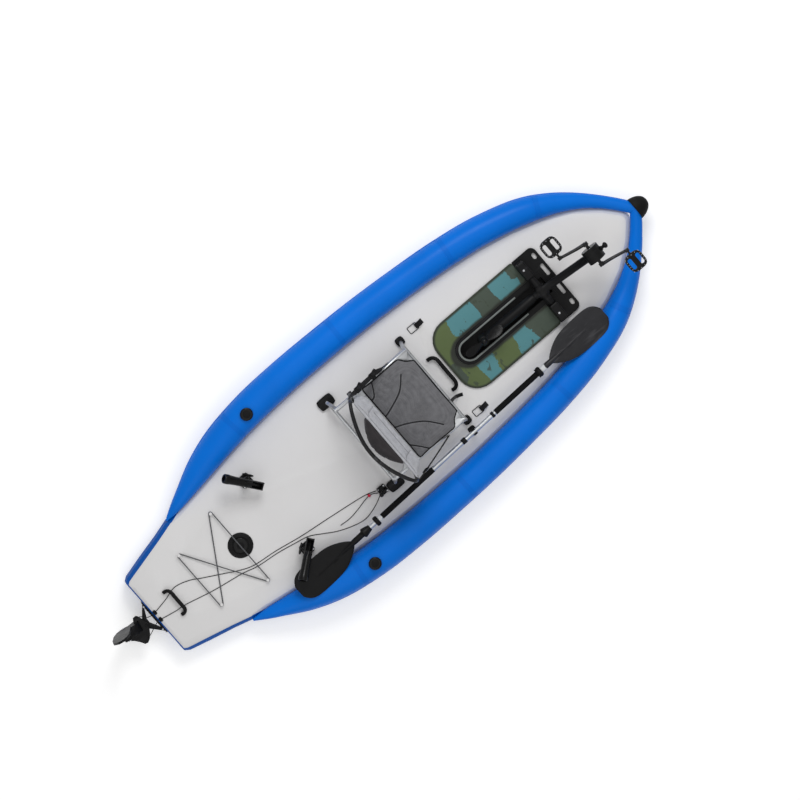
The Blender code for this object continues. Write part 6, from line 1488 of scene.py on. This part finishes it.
def ground_paint():
    """Matt ground, white to the camera and in reflections, that takes the shadow; an oval under the well holds
    painted shade, dark and without glow.
    """
    mat = bpy.data.materials.new("ground")
    mat.use_nodes = True
    tree = mat.node_tree
    tree.nodes.clear()
    diffuse, glow = tree.nodes.new("ShaderNodeBsdfDiffuse"), tree.nodes.new("ShaderNodeEmission")
    where, near = tree.nodes.new("ShaderNodeTexCoord"), tree.nodes.new("ShaderNodeMapping")
    span, outside_painted_shade = tree.nodes.new("ShaderNodeVectorMath"), tree.nodes.new("ShaderNodeMapRange")
    # Painted shade: an oval under the drive well is darkened and its glow turned off, so the well looks
    # shadowed.
    well_x, reach_x, reach_y = 0.825, 0.45, 0.2
    near.inputs["Location"].default_value = (-well_x / reach_x, 0, 0)
    near.inputs["Scale"].default_value = (1 / reach_x, 1 / reach_y, 1)
    span.operation = "LENGTH"
    outside_painted_shade.inputs["From Min"].default_value = 1.0
    outside_painted_shade.inputs["From Max"].default_value = 1.2
    tree.links.new(where.outputs["Object"], near.inputs["Vector"])
    tree.links.new(near.outputs[0], span.inputs[0])
    tree.links.new(span.outputs["Value"], outside_painted_shade.inputs["Value"])
    glow.inputs["Strength"].default_value = 0.35
    tree.links.new(outside_painted_shade.outputs[0], glow.inputs["Color"])
    shade = tree.nodes.new("ShaderNodeMix")
    shade.data_type = "RGBA"
    # Painted shade colour inside the oval under the well; the pale ground colour outside it.
    shade.inputs[6].default_value = (0.05, 0.05, 0.05, 1)
    shade.inputs[7].default_value = (0.86, 0.86, 0.86, 1)
    tree.links.new(outside_painted_shade.outputs[0], shade.inputs["Factor"])
    tree.links.new(shade.outputs[2], diffuse.inputs["Color"])
    ray, blend = tree.nodes.new("ShaderNodeLightPath"), tree.nodes.new("ShaderNodeAddShader")
    shown = tree.nodes.new("ShaderNodeMixShader")
    either = tree.nodes.new("ShaderNodeMath")
    either.operation = "MAXIMUM"
    tree.links.new(ray.outputs["Is Camera Ray"], either.inputs[0])
    tree.links.new(ray.outputs["Is Glossy Ray"], either.inputs[1])
    tree.links.new(diffuse.outputs[0], blend.inputs[0])
    tree.links.new(glow.outputs[0], blend.inputs[1])
    tree.links.new(either.outputs[0], shown.inputs[0])
    tree.links.new(diffuse.outputs[0], shown.inputs[1])
    tree.links.new(blend.outputs[0], shown.inputs[2])
    tree.links.new(shown.outputs[0], tree.nodes.new("ShaderNodeOutputMaterial").inputs[0])
    return mat


def place_camera():
    """Nearly overhead, leaning a little over the port side, with the bow up and to the right."""
    distance, pixels_per_metre, image = 20.0, 199.8, 800
    target = Vector((0.138, 0.0455, 0.2))
    back = Vector((-0.0013, 0.1544, 1.0)).normalized()
    roll = 0.8695
    up = Vector((math.cos(roll), math.sin(roll), 0))
    right = up.cross(back).normalized()
    up = back.cross(right)
    data = bpy.data.cameras.new("camera")
    data.sensor_width = 36.0
    data.lens = pixels_per_metre * distance / image * data.sensor_width
    camera = bpy.data.objects.new("camera", data)
    turn = Matrix((right, up, back)).transposed().to_4x4()
    camera.matrix_world = Matrix.Translation(target + back * distance) @ turn
    data.clip_end = 200.0
    scene.collection.objects.link(camera)
    scene.camera = camera


floor_and_light()
place_camera()
scene.view_settings.view_transform = "Standard"
bpy.context.view_layer.update()
